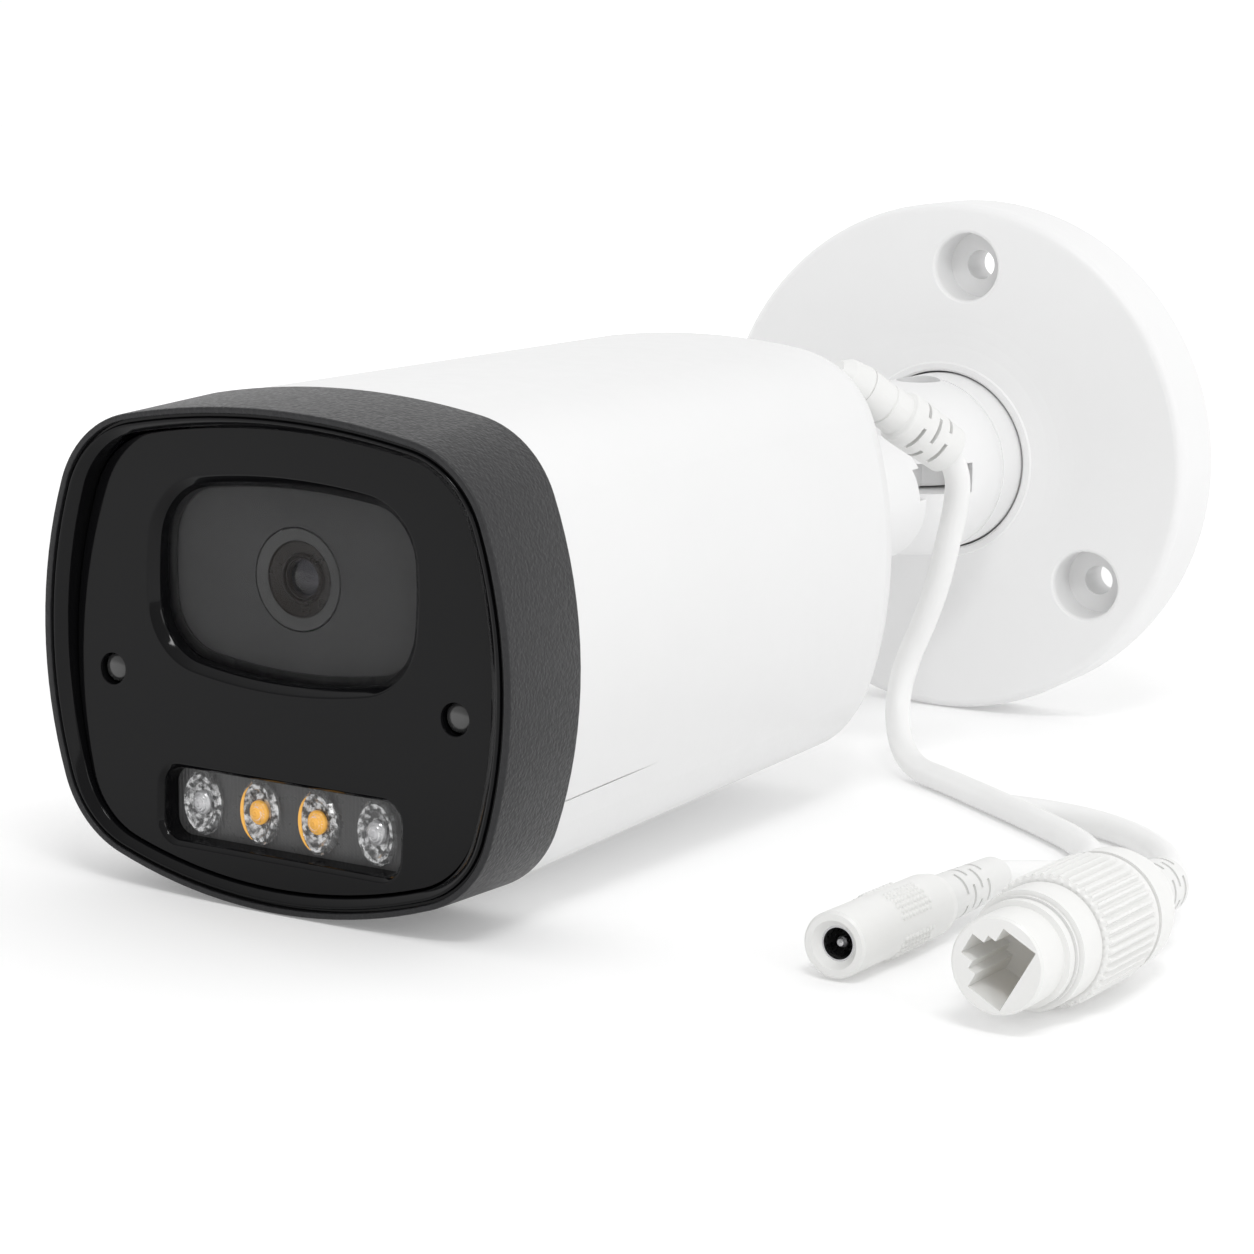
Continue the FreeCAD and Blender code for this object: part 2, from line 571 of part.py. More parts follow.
def lens_barrel():
    axis = LENS_Z - HEAD_DROP
    profile = [(LENS_FRONT + 0.4, 6.9), (LENS_FRONT, 9.2), (LENS_FRONT + 2.6, 9.2),
               (LENS_FRONT + 2.6, 7.0), (LENS_FRONT + 18.0, 7.0), (LENS_FRONT + 18.0, 4.0),
               (LENS_FRONT + 2.7, 4.0), (LENS_FRONT + 2.7, 3.5), (LENS_FRONT + 2.2, 3.5),
               (LENS_FRONT + 0.9, 6.5)]
    return turned(profile, 0, axis)


def lens_element(front, radius, bulge, thickness):
    """Glass element with a domed front, seated in the barrel."""
    axis = LENS_Z - HEAD_DROP
    return turned([(front - bulge, 0), (front - 0.85 * bulge, 0.45 * radius),
                   (front - 0.45 * bulge, 0.8 * radius), (front, radius),
                   (front + thickness, radius), (front + thickness, 0)], 0, axis)


def lens_front_element():
    return lens_element(LENS_FRONT + 3.4, 4.0, 1.5, 2.2)


def lens_rear_element():
    return lens_element(LENS_FRONT + 12.0, 4.0, 1.0, 2.5)


def lens_holder():
    axis = LENS_Z - HEAD_DROP
    start = LENS_FRONT + 8.0
    body = block((-9.5, 9.5), (start, start + 13.6), (axis - 9.5, axis + 9.5))
    body = body.cut(rod(7.0, start - 1, start + 10.0, 0, axis))
    return body.cut(block((-5.5, 5.5), (start + 9.0, start + 15.0), (axis - 5.5, axis + 5.5)))


SENSOR_BOARD_Y = LENS_FRONT + 21.6


def filter_switch():
    """Infrared-cut filter glass in its switching frame."""
    axis = LENS_Z - HEAD_DROP
    return block((-5.2, 5.2), (SENSOR_BOARD_Y - 3.4, SENSOR_BOARD_Y - 2.4), (axis - 5.2, axis + 5.2))


def image_sensor():
    axis = LENS_Z - HEAD_DROP
    return block((-4.5, 4.5), (SENSOR_BOARD_Y - 1.2, SENSOR_BOARD_Y), (axis - 4.0, axis + 4.0))


def sensor_board():
    axis = LENS_Z - HEAD_DROP
    return block((-19.0, 19.0), (SENSOR_BOARD_Y, SENSOR_BOARD_Y + 1.6), (axis - 19.0, axis + 19.0))


CHASSIS = ((-36.0, 36.0), (SENSOR_BOARD_Y + 6.0, -152.0))
CHASSIS_Z = -20.0 - HEAD_DROP


def chassis():
    """Folded sheet tray that carries the main board and the heat spreader."""
    (x0, x1), (y0, y1) = CHASSIS
    tray = block((x0, x1), (y0, y1), (CHASSIS_Z - 1.2, CHASSIS_Z))
    upright = block((-30.0, 30.0), (y0, y0 + 1.2), (CHASSIS_Z, CHASSIS_Z + 44.0))
    flanges = [block((x, x + 1.2), (y0, y1), (CHASSIS_Z, CHASSIS_Z + 7.0)) for x in (x0, x1 - 1.2)]
    return fused([tray, upright] + flanges)


def board_places():
    (x0, x1), (y0, y1) = CHASSIS
    return [(x, y) for x in (x0 + 7.0, x1 - 7.0) for y in (y0 + 12.0, y1 - 8.0)]


def board_pillars():
    pillars = [post(2.6, CHASSIS_Z, CHASSIS_Z + 6.0, x, y) for x, y in board_places()]
    return Part.makeCompound(pillars)


def main_board():
    (x0, x1), (y0, y1) = CHASSIS
    board = block((x0 + 3.0, x1 - 3.0), (y0 + 6.0, y1 - 3.0), (CHASSIS_Z + 6.0, CHASSIS_Z + 7.6))
    return board.cut(fused([post(1.3, CHASSIS_Z, CHASSIS_Z + 20, x, y) for x, y in board_places()]))


def board_screws():
    screws = []
    for x, y in board_places():
        shank = post(1.25, CHASSIS_Z + 6.2, CHASSIS_Z + 7.6, x, y)
        screws.append(shank.fuse(post(2.4, CHASSIS_Z + 7.6, CHASSIS_Z + 9.2, x, y)))
    return Part.makeCompound(screws)


def board_chips():
    top = CHASSIS_Z + 7.6
    mid = (CHASSIS[1][0] + CHASSIS[1][1]) / 2
    sizes = [(0.0, mid - 14.0, 15.0, 15.0, 1.6), (-20.0, mid + 4.0, 9.0, 12.0, 1.2),
             (18.0, mid + 6.0, 16.0, 16.0, 6.0), (2.0, mid + 30.0, 12.0, 8.0, 8.0)]
    chips = [block((x - w / 2, x + w / 2), (y - d / 2, y + d / 2), (top, top + h))
             for x, y, w, d, h in sizes]
    return Part.makeCompound(chips)


def heat_spreader():
    """Finned block on the processor."""
    top = CHASSIS_Z + 9.2
    mid = (CHASSIS[1][0] + CHASSIS[1][1]) / 2 - 14.0
    base = block((-11.0, 11.0), (mid - 11.0, mid + 11.0), (top, top + 2.0))
    fins = [block((x, x + 1.2), (mid - 11.0, mid + 11.0), (top + 2.0, top + 11.0))
            for x in (-11.0, -7.0, -3.0, 1.8, 5.8, 9.8)]
    return fused([base] + fins)


# ---- cable outlet, cables and connectors --------------------------------------------------
GLAND_BASE = Vector(30.6, -125.6, 30.6)      # in the straight camera's frame
BOOT_LENGTH = 28.0
BOOT_MOUTH = 9.0              # depth of the open end that the cable bends in
BOOT_AIM = Vector(0.41, 0.735, -0.54)


def gland_boss(dome):
    """Seat of the outlet boot on the cover's corner, clipped where it would stand out ahead."""
    boss = placed(turned([(-4.2, 0), (-4.2, 5.5), (0.1, 5.3), (0.6, 4.9), (0.6, 0)]),
                  GLAND_BASE, BOOT_AIM)
    ahead = block((0, 60), (HOUSING_END, COVER_FACE - 1.5), (0, 60)).cut(dome)
    return boss.cut(ahead)


def gland_hole():
    """Seat for the boot's spigot, and a narrower way through for the wires."""
    return placed(rod(4.0, -3.2, 5.0).fuse(rod(2.0, -14.0, -3.0)), GLAND_BASE, BOOT_AIM)


def slotted_boot(profile, slot_rows, radius, half_gap):
    """Flexible strain relief: a turned sleeve with staggered ring slots."""
    body = turned(profile)
    cuts = []
    for row, y in enumerate(slot_rows):
        ring = tube(radius + 3.0, radius, y, y + 0.9)
        for side in range(2):
            web = block((-radius - 5, radius + 5), (y - 1, y + 2), (-half_gap, half_gap))
            web.rotate(ORIGIN, ALONG_Y, 90 * side + 45 * (row % 2))
            ring = ring.cut(web)
        cuts.append(ring)
    return body.cut(fused(cuts))


def cable_boot():
    """Moulded outlet boot that the cable leaves the head through."""
    mouth = BOOT_LENGTH - BOOT_MOUTH
    profile = [(-3.0, 0), (-3.0, 4.0), (0.6, 4.0), (0.6, 5.0), (1.6, 4.9), (6.9, 4.7), (7.1, 4.4),
               (7.4, 4.4), (7.6, 4.7), (12.0, 4.9), (12.3, 5.3), (13.3, 5.8, 12.6, 5.7), (14.8, 5.9), (BOOT_LENGTH - 0.8, 5.5),
               (BOOT_LENGTH, 4.9, BOOT_LENGTH - 0.2, 5.3), (mouth, 3.5), (mouth, 0)]
    boot = slotted_boot(profile, (15.8, 19.2, 22.6), 4.3, 1.3)
    return placed(boot, GLAND_BASE, BOOT_AIM)


CABLE_Z = FLOOR_Z + CABLE_RADIUS
DC_RADIUS = 5.8
DC_AXIS = (101.0, FLOOR_Z + 6.1)
DC_FACE = -265.6
DC_BOOT_END = -201.0
RJ_AXIS = (136.6, FLOOR_Z + 11.4)
RJ_FACE = -279.0
RJ_BOOT_END = -208.0
ROLL = math.radians(-28.5)    # the socket lies rolled about its axis


def cable_exit():
    """Centre of the floor of the boot's mouth in the standing camera, and the way out."""
    aim = Vector(BOOT_AIM).normalize()
    start = GLAND_BASE + aim * (BOOT_LENGTH - BOOT_MOUTH)
    turn = FreeCAD.Rotation(Vector(1, 0, 0), STANCE)
    return turn.multVec(start), turn.multVec(aim)


def main_route():
    """From the outlet boot down to the surface and forward to the power jack's boot."""
    start, aim = cable_exit()
    hanging = [(42.6, -100.2, 3.9), (40.6, -97.0, -3.6), (38.0, -95.0, -12.6),
               (35.2, -93.2, -22.0), (31.6, -91.8, -30.8), (28.1, -91.4, -38.7),
               (26.9, -93.0, -46.5), (28.6, -96.4, -53.4), (32.9, -101.0, -58.7)]
    lying = [(39.3, -106.2), (48.2, -112.0), (62.0, -122.5), (79.5, -136.0), (96.6, -150.3),
             (106.0, -164.5), (106.6, -179.5)]
    return ([start, start + aim * BOOT_MOUTH] + [Vector(*point) for point in hanging]
            + [Vector(x, y, CABLE_Z) for x, y in lying]
            + [Vector(102.4, -191.5, FLOOR_Z + 4.8), Vector(DC_AXIS[0], DC_BOOT_END, DC_AXIS[1])])


def network_route():
    """From beside the main cable round to the network socket's boot."""
    lying = [(70.6, -129.6), (79.8, -128.4), (93.0, -131.5), (105.0, -139.5), (114.0, -149.5),
             (120.0, -161.5)]
    rising = [(124.8, -174.0, 4.6), (129.5, -186.0, 7.8), (134.2, -197.0, 10.6)]
    return ([Vector(x, y, CABLE_Z) for x, y in lying]
            + [Vector(x, y, FLOOR_Z + height) for x, y, height in rising]
            + [Vector(RJ_AXIS[0], RJ_BOOT_END, RJ_AXIS[1])])


def path_through(points):
    """Straight runs joined by tangent arcs; returns the wire and the arc radii."""
    edges, radii = [], []
    start = points[0]
    for before, corner, after in zip(points, points[1:], points[2:]):
        inward = (corner - before).normalize()
        outward = (after - corner).normalize()
        turn = inward.getAngle(outward)
        back = 0.45 * min((corner - before).Length, (after - corner).Length)
        radius = back / math.tan(turn / 2)
        arc_start, arc_end = corner - inward * back, corner + outward * back
        bisector = (outward - inward).normalize()
        centre = corner + bisector * (radius / math.cos(turn / 2))
        middle = centre - bisector * radius
        edges.append(Part.LineSegment(start, arc_start).toShape())
        edges.append(Part.Arc(arc_start, middle, arc_end).toShape())
        radii.append(radius)
        start = arc_end
    edges.append(Part.LineSegment(start, points[-1]).toShape())
    return Part.Wire(edges), radii


def cable(name, points):
    path, radii = path_through(points)
    direction = (points[1] - points[0]).normalize()
    section = Part.Wire(Part.Circle(points[0], direction, CABLE_RADIUS).toShape())
    solid = path.makePipeShell([section], True, False)
    ideal = math.pi * CABLE_RADIUS ** 2 * path.Length
    runs = [(b - a).Length for a, b in zip(points, points[1:])]
    print(f"{name}: length {path.Length:.1f}, radii {[round(r, 1) for r in radii]}, "
          f"runs {[round(r, 1) for r in runs]}, volume ratio {solid.Volume / ideal:.4f}")
    return solid


def dc_jack_body():
    x, z = DC_AXIS
    shell = turned([(DC_FACE, 4.25), (DC_FACE, 5.3), (DC_FACE + 0.5, DC_RADIUS),
                    (-231.0, DC_RADIUS), (-228.6, 5.4), (-227.2, 4.6), (-227.2, 0),
                    (DC_FACE + 16.0, 0), (DC_FACE + 16.0, 3.05), (DC_FACE + 1.6, 3.05)], x, z)
    return shell


def dc_contact_sleeve():
    x, z = DC_AXIS
    return tube(3.05, 2.75, DC_FACE + 1.6, DC_FACE + 16.0, x, z)


def dc_insulator():
    x, z = DC_AXIS
    return tube(2.75, 1.0, DC_FACE + 13.0, DC_FACE + 16.0, x, z)


def dc_pin():
    x, z = DC_AXIS
    return turned([(DC_FACE + 2.2, 0), (DC_FACE + 2.4, 0.6), (DC_FACE + 3.0, 1.0),
                   (DC_FACE + 16.0, 1.0), (DC_FACE + 16.0, 0)], x, z)


def dc_boot():
    length = DC_BOOT_END + 227.2
    profile = [(0, 0), (0, 4.4), (3.0, 4.4), (length - 1.5, 3.8), (length, 3.3), (length, 0)]
    boot = slotted_boot(profile, (5.0, 8.2, 11.4, 14.6), 3.4, 1.0)
    return placed(boot, Vector(DC_AXIS[0], -227.2, DC_AXIS[1]), ALONG_Y)


RJ_BARREL = 8.0


def socket_point(across, up, y):
    """Point of the network socket's section, turned by the roll about its axis."""
    x = across * math.cos(ROLL) - up * math.sin(ROLL)
    z = across * math.sin(ROLL) + up * math.cos(ROLL)
    return Vector(RJ_AXIS[0] + x, y, RJ_AXIS[1] + z)


def socket_cavity():
    """Plug-shaped hollow: the body, the latch way and the latch's nose, on its side."""
    half = 5.85
    section = [(4.3, half), (4.3, -half), (-2.2, -half), (-2.2, -3.3), (-3.7, -3.3),
               (-3.7, -1.9), (-6.0, -1.9), (-6.0, 1.9), (-3.7, 1.9), (-3.7, 3.3),
               (-2.2, 3.3), (-2.2, half)]
    points = [socket_point(across, up, RJ_FACE - 0.5) for across, up in section]
    face = Part.Face(Part.makePolygon(points + points[:1]))
    return face.extrude(Vector(0, 15.0, 0))


def rj45_body():
    x, z = RJ_AXIS
    shell = turned([(RJ_FACE, 0), (RJ_FACE, RJ_BARREL - 0.4), (RJ_FACE + 0.4, RJ_BARREL),
                    (-270.6, RJ_BARREL), (-270.4, 8.9), (-268.6, 8.9), (-268.4, 8.5),
                    (-267.6, 8.5), (-267.2, 10.0), (-260.0, 10.0), (-260.0, 9.4),
                    (-236.6, 9.4), (-236.6, 10.9), (-230.5, 10.6), (-226.5, 9.2),
                    (-224.5, 7.0), (-224.0, 5.2), (-224.0, 0)], x, z)
    return shell.cut(socket_cavity())


def rj45_collar():
    x, z = RJ_AXIS
    ring = turned([(-259.6, 9.4), (-259.6, 10.7), (-259.0, 11.3), (-257.2, 11.4),
                   (-239.0, 11.4), (-237.2, 11.0), (-237.0, 10.4), (-237.0, 9.4)], x, z)
    grooves = []
    for index in range(40):
        angle = math.radians(9 * index + 4.5)
        grooves.append(rod(0.45, -256.6, -240.0,
                           x + 11.55 * math.cos(angle), z + 11.55 * math.sin(angle)))
    return ring.cut(fused(grooves))


def rj45_seal():
    x, z = RJ_AXIS
    return tube(9.3, 8.5, -268.3, -267.7, x, z)


def rj45_contacts():
    """Eight spring wires along the wall opposite the latch way."""
    wires = []
    for index in range(8):
        up = (index - 3.5) * 1.02
        ends = [socket_point(across, up + side, RJ_FACE + 14.5)
                for across, side in ((4.25, -0.2), (4.25, 0.2), (3.9, 0.2), (3.9, -0.2))]
        bar = Part.Face(Part.makePolygon(ends + ends[:1])).extrude(Vector(0, -9.5, 0))
        wires.append(bar)
    return Part.makeCompound(wires)


def rj45_boot():
    length = RJ_BOOT_END + 224.0
    profile = [(0, 0), (0, 5.7), (2.5, 5.5), (length - 1.0, 5.0), (length, 4.2), (length, 0)]
    boot = slotted_boot(profile, (5.0, 7.6, 10.2, 12.8), 4.2, 1.2)
    return placed(boot, Vector(RJ_AXIS[0], -224.0, RJ_AXIS[1]), ALONG_Y)


# ---- everything, by node name -------------------------------------------------------------
def camera_parts():
    """Pieces built in the straight camera's frame."""
    return {
        "wall_plate": wall_plate(),
        "turret": turret(),
        "turret_washer": turret_washer(),
        "turret_retainer": turret_retainer(),
        "retainer_screws": retainer_screws(),
        "swing_screw": swing_screw(),
        "swing_nut": swing_nut(),
        "swing_washers": swing_washers(),
        "swivel_arm": swivel_arm(),
        "stem_nut": stem_nut(),
        "roll_lock_ring": roll_lock_ring(),
        "rear_cover": rear_cover(),
        "rear_gasket": rear_gasket(),
        "main_housing": main_housing(),
        "bezel_gasket": bezel_gasket(),
        "front_bezel": front_bezel(),
        "front_panel": front_panel(),
        "window_glass": window_glass(),
        "window_gasket": window_gasket(),
        "lens_baffle": lens_baffle(),
        "lens_barrel": lens_barrel(),
        "lens_front_element": lens_front_element(),
        "lens_rear_element": lens_rear_element(),
        "lens_holder": lens_holder(),
        "filter_switch": filter_switch(),
        "image_sensor": image_sensor(),
        "sensor_board": sensor_board(),
        "light_tray": light_tray(),
        "light_lenses": light_lenses(),
        "infrared_lights": light_chips((0, 3)),
        "warm_lights": light_chips((1, 2)),
        "light_board": light_board(),
        "microphone": sensor_plug(0),
        "light_sensor": sensor_plug(1),
        "chassis": chassis(),
        "board_pillars": board_pillars(),
        "main_board": main_board(),
        "board_screws": board_screws(),
        "board_chips": board_chips(),
        "heat_spreader": heat_spreader(),
        "cable_boot": cable_boot(),
    }


def loose_parts():
    """Cables and connectors, already where they lie."""
    return {
        "main_cable": cable("main_cable", main_route()),
        "network_tail": cable("network_tail", network_route()),
        "dc_boot": dc_boot(),
        "dc_jack_body": dc_jack_body(),
        "dc_contact_sleeve": dc_contact_sleeve(),
        "dc_insulator": dc_insulator(),
        "dc_pin": dc_pin(),
        "rj45_boot": rj45_boot(),
        "rj45_body": rj45_body(),
        "rj45_collar": rj45_collar(),
        "rj45_seal": rj45_seal(),
        "rj45_contacts": rj45_contacts(),
    }


def main():
    os.makedirs("parts", exist_ok=True)
    parts = {}
    for name, shape in camera_parts().items():
        standing = shape.copy()
        standing.rotate(ORIGIN, Vector(1, 0, 0), STANCE)
        parts[name] = standing
    parts.update(loose_parts())
    for name, shape in parts.items():
        shape.exportStep(f"parts/{name}.step")
        solids = len(shape.Solids)
        print(f"{name}: {solids} solid(s), valid {shape.isValid()}, volume {shape.Volume:.0f}, "
              f"lowest {shape.BoundBox.ZMin:.2f}")
    print(f"stance {STANCE:.4f} degrees, floor {FLOOR_Z:.3f}, nodes {len(parts)}")


if __name__ == "__main__":
    main()
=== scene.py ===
"""Looks of the bullet security camera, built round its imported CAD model.

Everything is in metres in the model's own frame: the origin is the centre of the wall plate's
back face, +Y points into the wall and +Z is up.  Pieces of the camera itself are described
straight, as if the plate were square to +Y, and are tipped into the stance by STAND.
"""

import json
import math

import bmesh
import bpy
from mathutils import Matrix, Vector


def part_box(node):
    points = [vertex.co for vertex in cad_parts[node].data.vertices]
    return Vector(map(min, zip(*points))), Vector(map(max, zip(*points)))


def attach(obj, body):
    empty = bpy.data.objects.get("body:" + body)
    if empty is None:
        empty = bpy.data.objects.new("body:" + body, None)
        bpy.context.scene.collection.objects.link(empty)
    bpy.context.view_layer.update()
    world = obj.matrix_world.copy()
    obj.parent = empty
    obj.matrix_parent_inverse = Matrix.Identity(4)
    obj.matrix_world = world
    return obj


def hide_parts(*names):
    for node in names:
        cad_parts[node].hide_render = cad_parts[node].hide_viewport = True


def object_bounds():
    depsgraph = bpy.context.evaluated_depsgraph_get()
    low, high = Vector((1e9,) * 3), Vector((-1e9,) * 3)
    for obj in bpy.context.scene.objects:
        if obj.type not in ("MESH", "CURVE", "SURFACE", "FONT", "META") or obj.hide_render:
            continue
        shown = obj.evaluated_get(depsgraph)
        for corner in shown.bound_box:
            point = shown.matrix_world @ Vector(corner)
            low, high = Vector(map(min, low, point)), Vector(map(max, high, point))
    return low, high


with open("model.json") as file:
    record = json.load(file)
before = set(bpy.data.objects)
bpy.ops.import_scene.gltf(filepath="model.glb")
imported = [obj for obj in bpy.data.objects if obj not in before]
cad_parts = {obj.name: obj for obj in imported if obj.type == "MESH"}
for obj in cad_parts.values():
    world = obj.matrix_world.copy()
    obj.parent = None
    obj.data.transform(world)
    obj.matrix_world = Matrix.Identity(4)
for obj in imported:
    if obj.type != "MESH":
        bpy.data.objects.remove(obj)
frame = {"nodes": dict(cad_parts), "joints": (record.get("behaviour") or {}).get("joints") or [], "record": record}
CAD_BOUNDS = [list(corner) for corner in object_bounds()]
MM = 0.001
NODES = frame["nodes"]
JOINTS = {joint["name"]: joint for joint in frame["joints"]}
SLOT_OF = {part["node"]: part["material_slot"] for part in frame["record"]["subparts"]}

HEAD_AXIS = Vector(JOINTS["head_roll"]["axis"])
STANCE = math.atan2(HEAD_AXIS.z, HEAD_AXIS.y)
STAND = Matrix.Rotation(STANCE, 4, "X")
HEAD_POINT = STAND.inverted() @ Vector(JOINTS["head_roll"]["pos_m"])
FLOOR_Z = CAD_BOUNDS[0][2]

STRAIGHT_MM = STAND @ Matrix.Scale(MM, 4)      # mm in the straight camera to the model's frame
LYING_MM = Matrix.Scale(MM, 4)                 # mm in the model's frame, for the connectors
HEAD_DROP = -HEAD_POINT.z / MM


def straight_points(name):
    """Vertices of a CAD node in mm, in the straight camera."""
    node = NODES[name]
    to_straight = STRAIGHT_MM.inverted() @ node.matrix_world
    return [to_straight @ vertex.co for vertex in node.data.vertices]


RIM_Y = min(point.y for point in straight_points("front_bezel"))


# ---- camera, floor and light --------------------------------------------------------------
def look_from(location, forward, up):
    """World matrix of a camera or lamp that looks along forward."""
    back = -Vector(forward).normalized()
    right = Vector(up).cross(back).normalized()
    true_up = back.cross(right)
    turn = Matrix((right, true_up, back)).transposed().to_4x4()
    return Matrix.Translation(Vector(location)) @ turn


def make_camera():
    """The photograph's camera, as fitted to the CAD part."""
    data = bpy.data.cameras.new("camera")
    data.lens = 89.16
    data.sensor_width = 36.0
    data.clip_start = 0.01
    camera = bpy.data.objects.new("camera", data)
    bpy.context.scene.collection.objects.link(camera)
    camera.matrix_world = look_from((0.3303, -0.7177, 0.0736), (-0.5091, 0.8469, -0.1535),
                                    (-0.1086, 0.1137, 0.9876))
    bpy.context.scene.camera = camera


def area_light(name, location, target, size, power, colour=(1.0, 1.0, 1.0)):
    """Rectangular lamp of the given size in metres, aimed at target."""
    data = bpy.data.lights.new(name, "AREA")
    data.shape = "RECTANGLE"
    data.size, data.size_y = size
    data.energy = power
    data.color = colour
    lamp = bpy.data.objects.new(name, data)
    bpy.context.scene.collection.objects.link(lamp)
    lamp.matrix_world = look_from(location, Vector(target) - Vector(location), (0, 0, 1))


def make_studio():
    """White floor that glows more the farther it is from the origin, a painted light that lifts its shadows; white
    surroundings that dim towards -Y, and large soft lights.
    """
    mesh = bpy.data.meshes.new("floor")
    half = 60.0
    corners = [(-half, -half), (half, -half), (half, half), (-half, half)]
    mesh.from_pydata([(x, y, FLOOR_Z - 0.0002) for x, y in corners], [], [(0, 1, 2, 3)])
    floor = bpy.data.objects.new("floor", mesh)
    bpy.context.scene.collection.objects.link(floor)
    sheet = bpy.data.materials.new("floor_white")
    sheet.use_nodes = True
    shader = sheet.node_tree.nodes["Principled BSDF"]
    shader.inputs["Base Color"].default_value = (0.8, 0.8, 0.8, 1)
    # The floor's glow is painted light: it lifts the shade round the part and brightens the far floor.
    shader.inputs["Emission Color"].default_value = (1, 1, 1, 1)
    nodes, links = sheet.node_tree.nodes, sheet.node_tree.links
    place = nodes.new("ShaderNodeTexCoord")
    away = nodes.new("ShaderNodeVectorMath")
    away.operation = "LENGTH"
    lift = nodes.new("ShaderNodeMapRange")
    for socket, number in (("From Min", 0.35), ("From Max", 1.5), ("To Min", 0.2), ("To Max", 0.6)):
        lift.inputs[socket].default_value = number
    links.new(place.outputs["Object"], away.inputs[0])
    links.new(away.outputs["Value"], lift.inputs["Value"])
    links.new(lift.outputs["Result"], shader.inputs["Emission Strength"])
    shader.inputs["Roughness"].default_value = 0.8
    shader.inputs["Specular IOR Level"].default_value = 0.1
    mesh.materials.append(sheet)

    world = bpy.data.worlds.new("studio")
    bpy.context.scene.world = world
    world.use_nodes = True
    nodes, links = world.node_tree.nodes, world.node_tree.links
    direction = nodes.new("ShaderNodeTexCoord")
    axes = nodes.new("ShaderNodeSeparateXYZ")
    fade = nodes.new("ShaderNodeMapRange")
    for socket, number in (("From Min", -0.75), ("From Max", 0.05),
                           ("To Min", 0.58), ("To Max", 1.02)):
        fade.inputs[socket].default_value = number
    links.new(direction.outputs["Generated"], axes.inputs["Vector"])
    links.new(axes.outputs["Y"], fade.inputs["Value"])
    nodes["Background"].inputs["Color"].default_value = (1, 1, 1, 1)
    links.new(fade.outputs["Result"], nodes["Background"].inputs["Strength"])
    bpy.context.scene.view_settings.view_transform = "Standard"

    middle = (0.0, -0.15, 0.0)
    area_light("key", (0.42, -0.76, 0.85), middle, (0.34, 0.16), 3.0)
    area_light("fill_right", (1.2, -0.7, 0.5), middle, (0.5, 0.5), 2.0)
    area_light("fill_left", (-1.0, -0.05, 0.35), middle, (0.12, 0.5), 0.9)


# ---- materials ----------------------------------------------------------------------------
class Finish:
    """A principled material with helpers for procedural detail in object coordinates."""

    def __init__(self, name, colour, roughness, **sockets):
        self.material = bpy.data.materials.new(name)
        self.material.use_nodes = True
        self.tree = self.material.node_tree
        self.shader = self.tree.nodes["Principled BSDF"]
        self.colour = colour
        self.shader.inputs["Base Color"].default_value = (*colour, 1)
        self.shader.inputs["Roughness"].default_value = roughness
        for key, value in sockets.items():
            self.shader.inputs[key.replace("_", " ")].default_value = value
        self.where = self.add("ShaderNodeTexCoord").outputs["Object"]
        self.height = None

    def add(self, kind, **settings):
        node = self.tree.nodes.new(kind)
        for key, value in settings.items():
            setattr(node, key, value)
        return node

    def link(self, output, socket):
        self.tree.links.new(output, socket)

    def noise(self, size, detail=3.0, rough=0.55, stretch=(1, 1, 1)):
        """Noise whose features are about size metres across."""
        spread = self.add("ShaderNodeMapping")
        spread.inputs["Scale"].default_value = stretch
        self.link(self.where, spread.inputs["Vector"])
        node = self.add("ShaderNodeTexNoise")
        node.inputs["Scale"].default_value = 1.0 / size
        node.inputs["Detail"].default_value = detail
        node.inputs["Roughness"].default_value = rough
        self.link(spread.outputs["Vector"], node.inputs["Vector"])
        return node.outputs["Fac"]

    def cells(self, size):
        """Distance to the nearest cell centre, cells about size metres across."""
        node = self.add("ShaderNodeTexVoronoi")
        node.inputs["Scale"].default_value = 1.0 / size
        self.link(self.where, node.inputs["Vector"])
        return node.outputs["Distance"]

    def ranged(self, value, low, high, start=0.0, end=1.0):
        node = self.add("ShaderNodeMapRange")
        for socket, number in zip(("From Min", "From Max", "To Min", "To Max"),
                                  (low, high, start, end)):
            node.inputs[socket].default_value = number
        self.link(value, node.inputs["Value"])
        return node.outputs["Result"]

    def tint(self, value, other):
        """Drift the base colour towards other where value is high."""
        node = self.add("ShaderNodeMix", data_type="RGBA")
        node.inputs["A"].default_value = (*self.colour, 1)
        node.inputs["B"].default_value = (*other, 1)
        self.link(value, node.inputs["Factor"])
        self.link(node.outputs["Result"], self.shader.inputs["Base Color"])
        return self

    def vary_roughness(self, value, low, high):
        self.link(self.ranged(value, 0.3, 0.7, low, high), self.shader.inputs["Roughness"])
        return self

    def bump(self, value, depth, strength=1.0):
        """Stack a bump of that depth in metres on the earlier ones."""
        node = self.add("ShaderNodeBump")
        node.inputs["Distance"].default_value = depth
        node.inputs["Strength"].default_value = strength
        self.link(value, node.inputs["Height"])
        if self.height is not None:
            self.link(self.height, node.inputs["Normal"])
        self.height = node.outputs["Normal"]
        self.link(self.height, self.shader.inputs["Normal"])
        return self


def powder_coat(name, colour):
    """Sprayed satin paint: fine orange peel and very faint clouding."""
    finish = Finish(name, colour, 0.42, Coat_Weight=0.08, Coat_Roughness=0.35)
    finish.tint(finish.noise(0.03, 2), [channel * 0.975 for channel in colour])
    finish.vary_roughness(finish.noise(0.004, 4), 0.38, 0.48)
    finish.bump(finish.noise(0.0011, 2), 0.00003, 0.5)
    finish.bump(finish.noise(0.00028, 2), 0.00001, 0.5)
    return finish


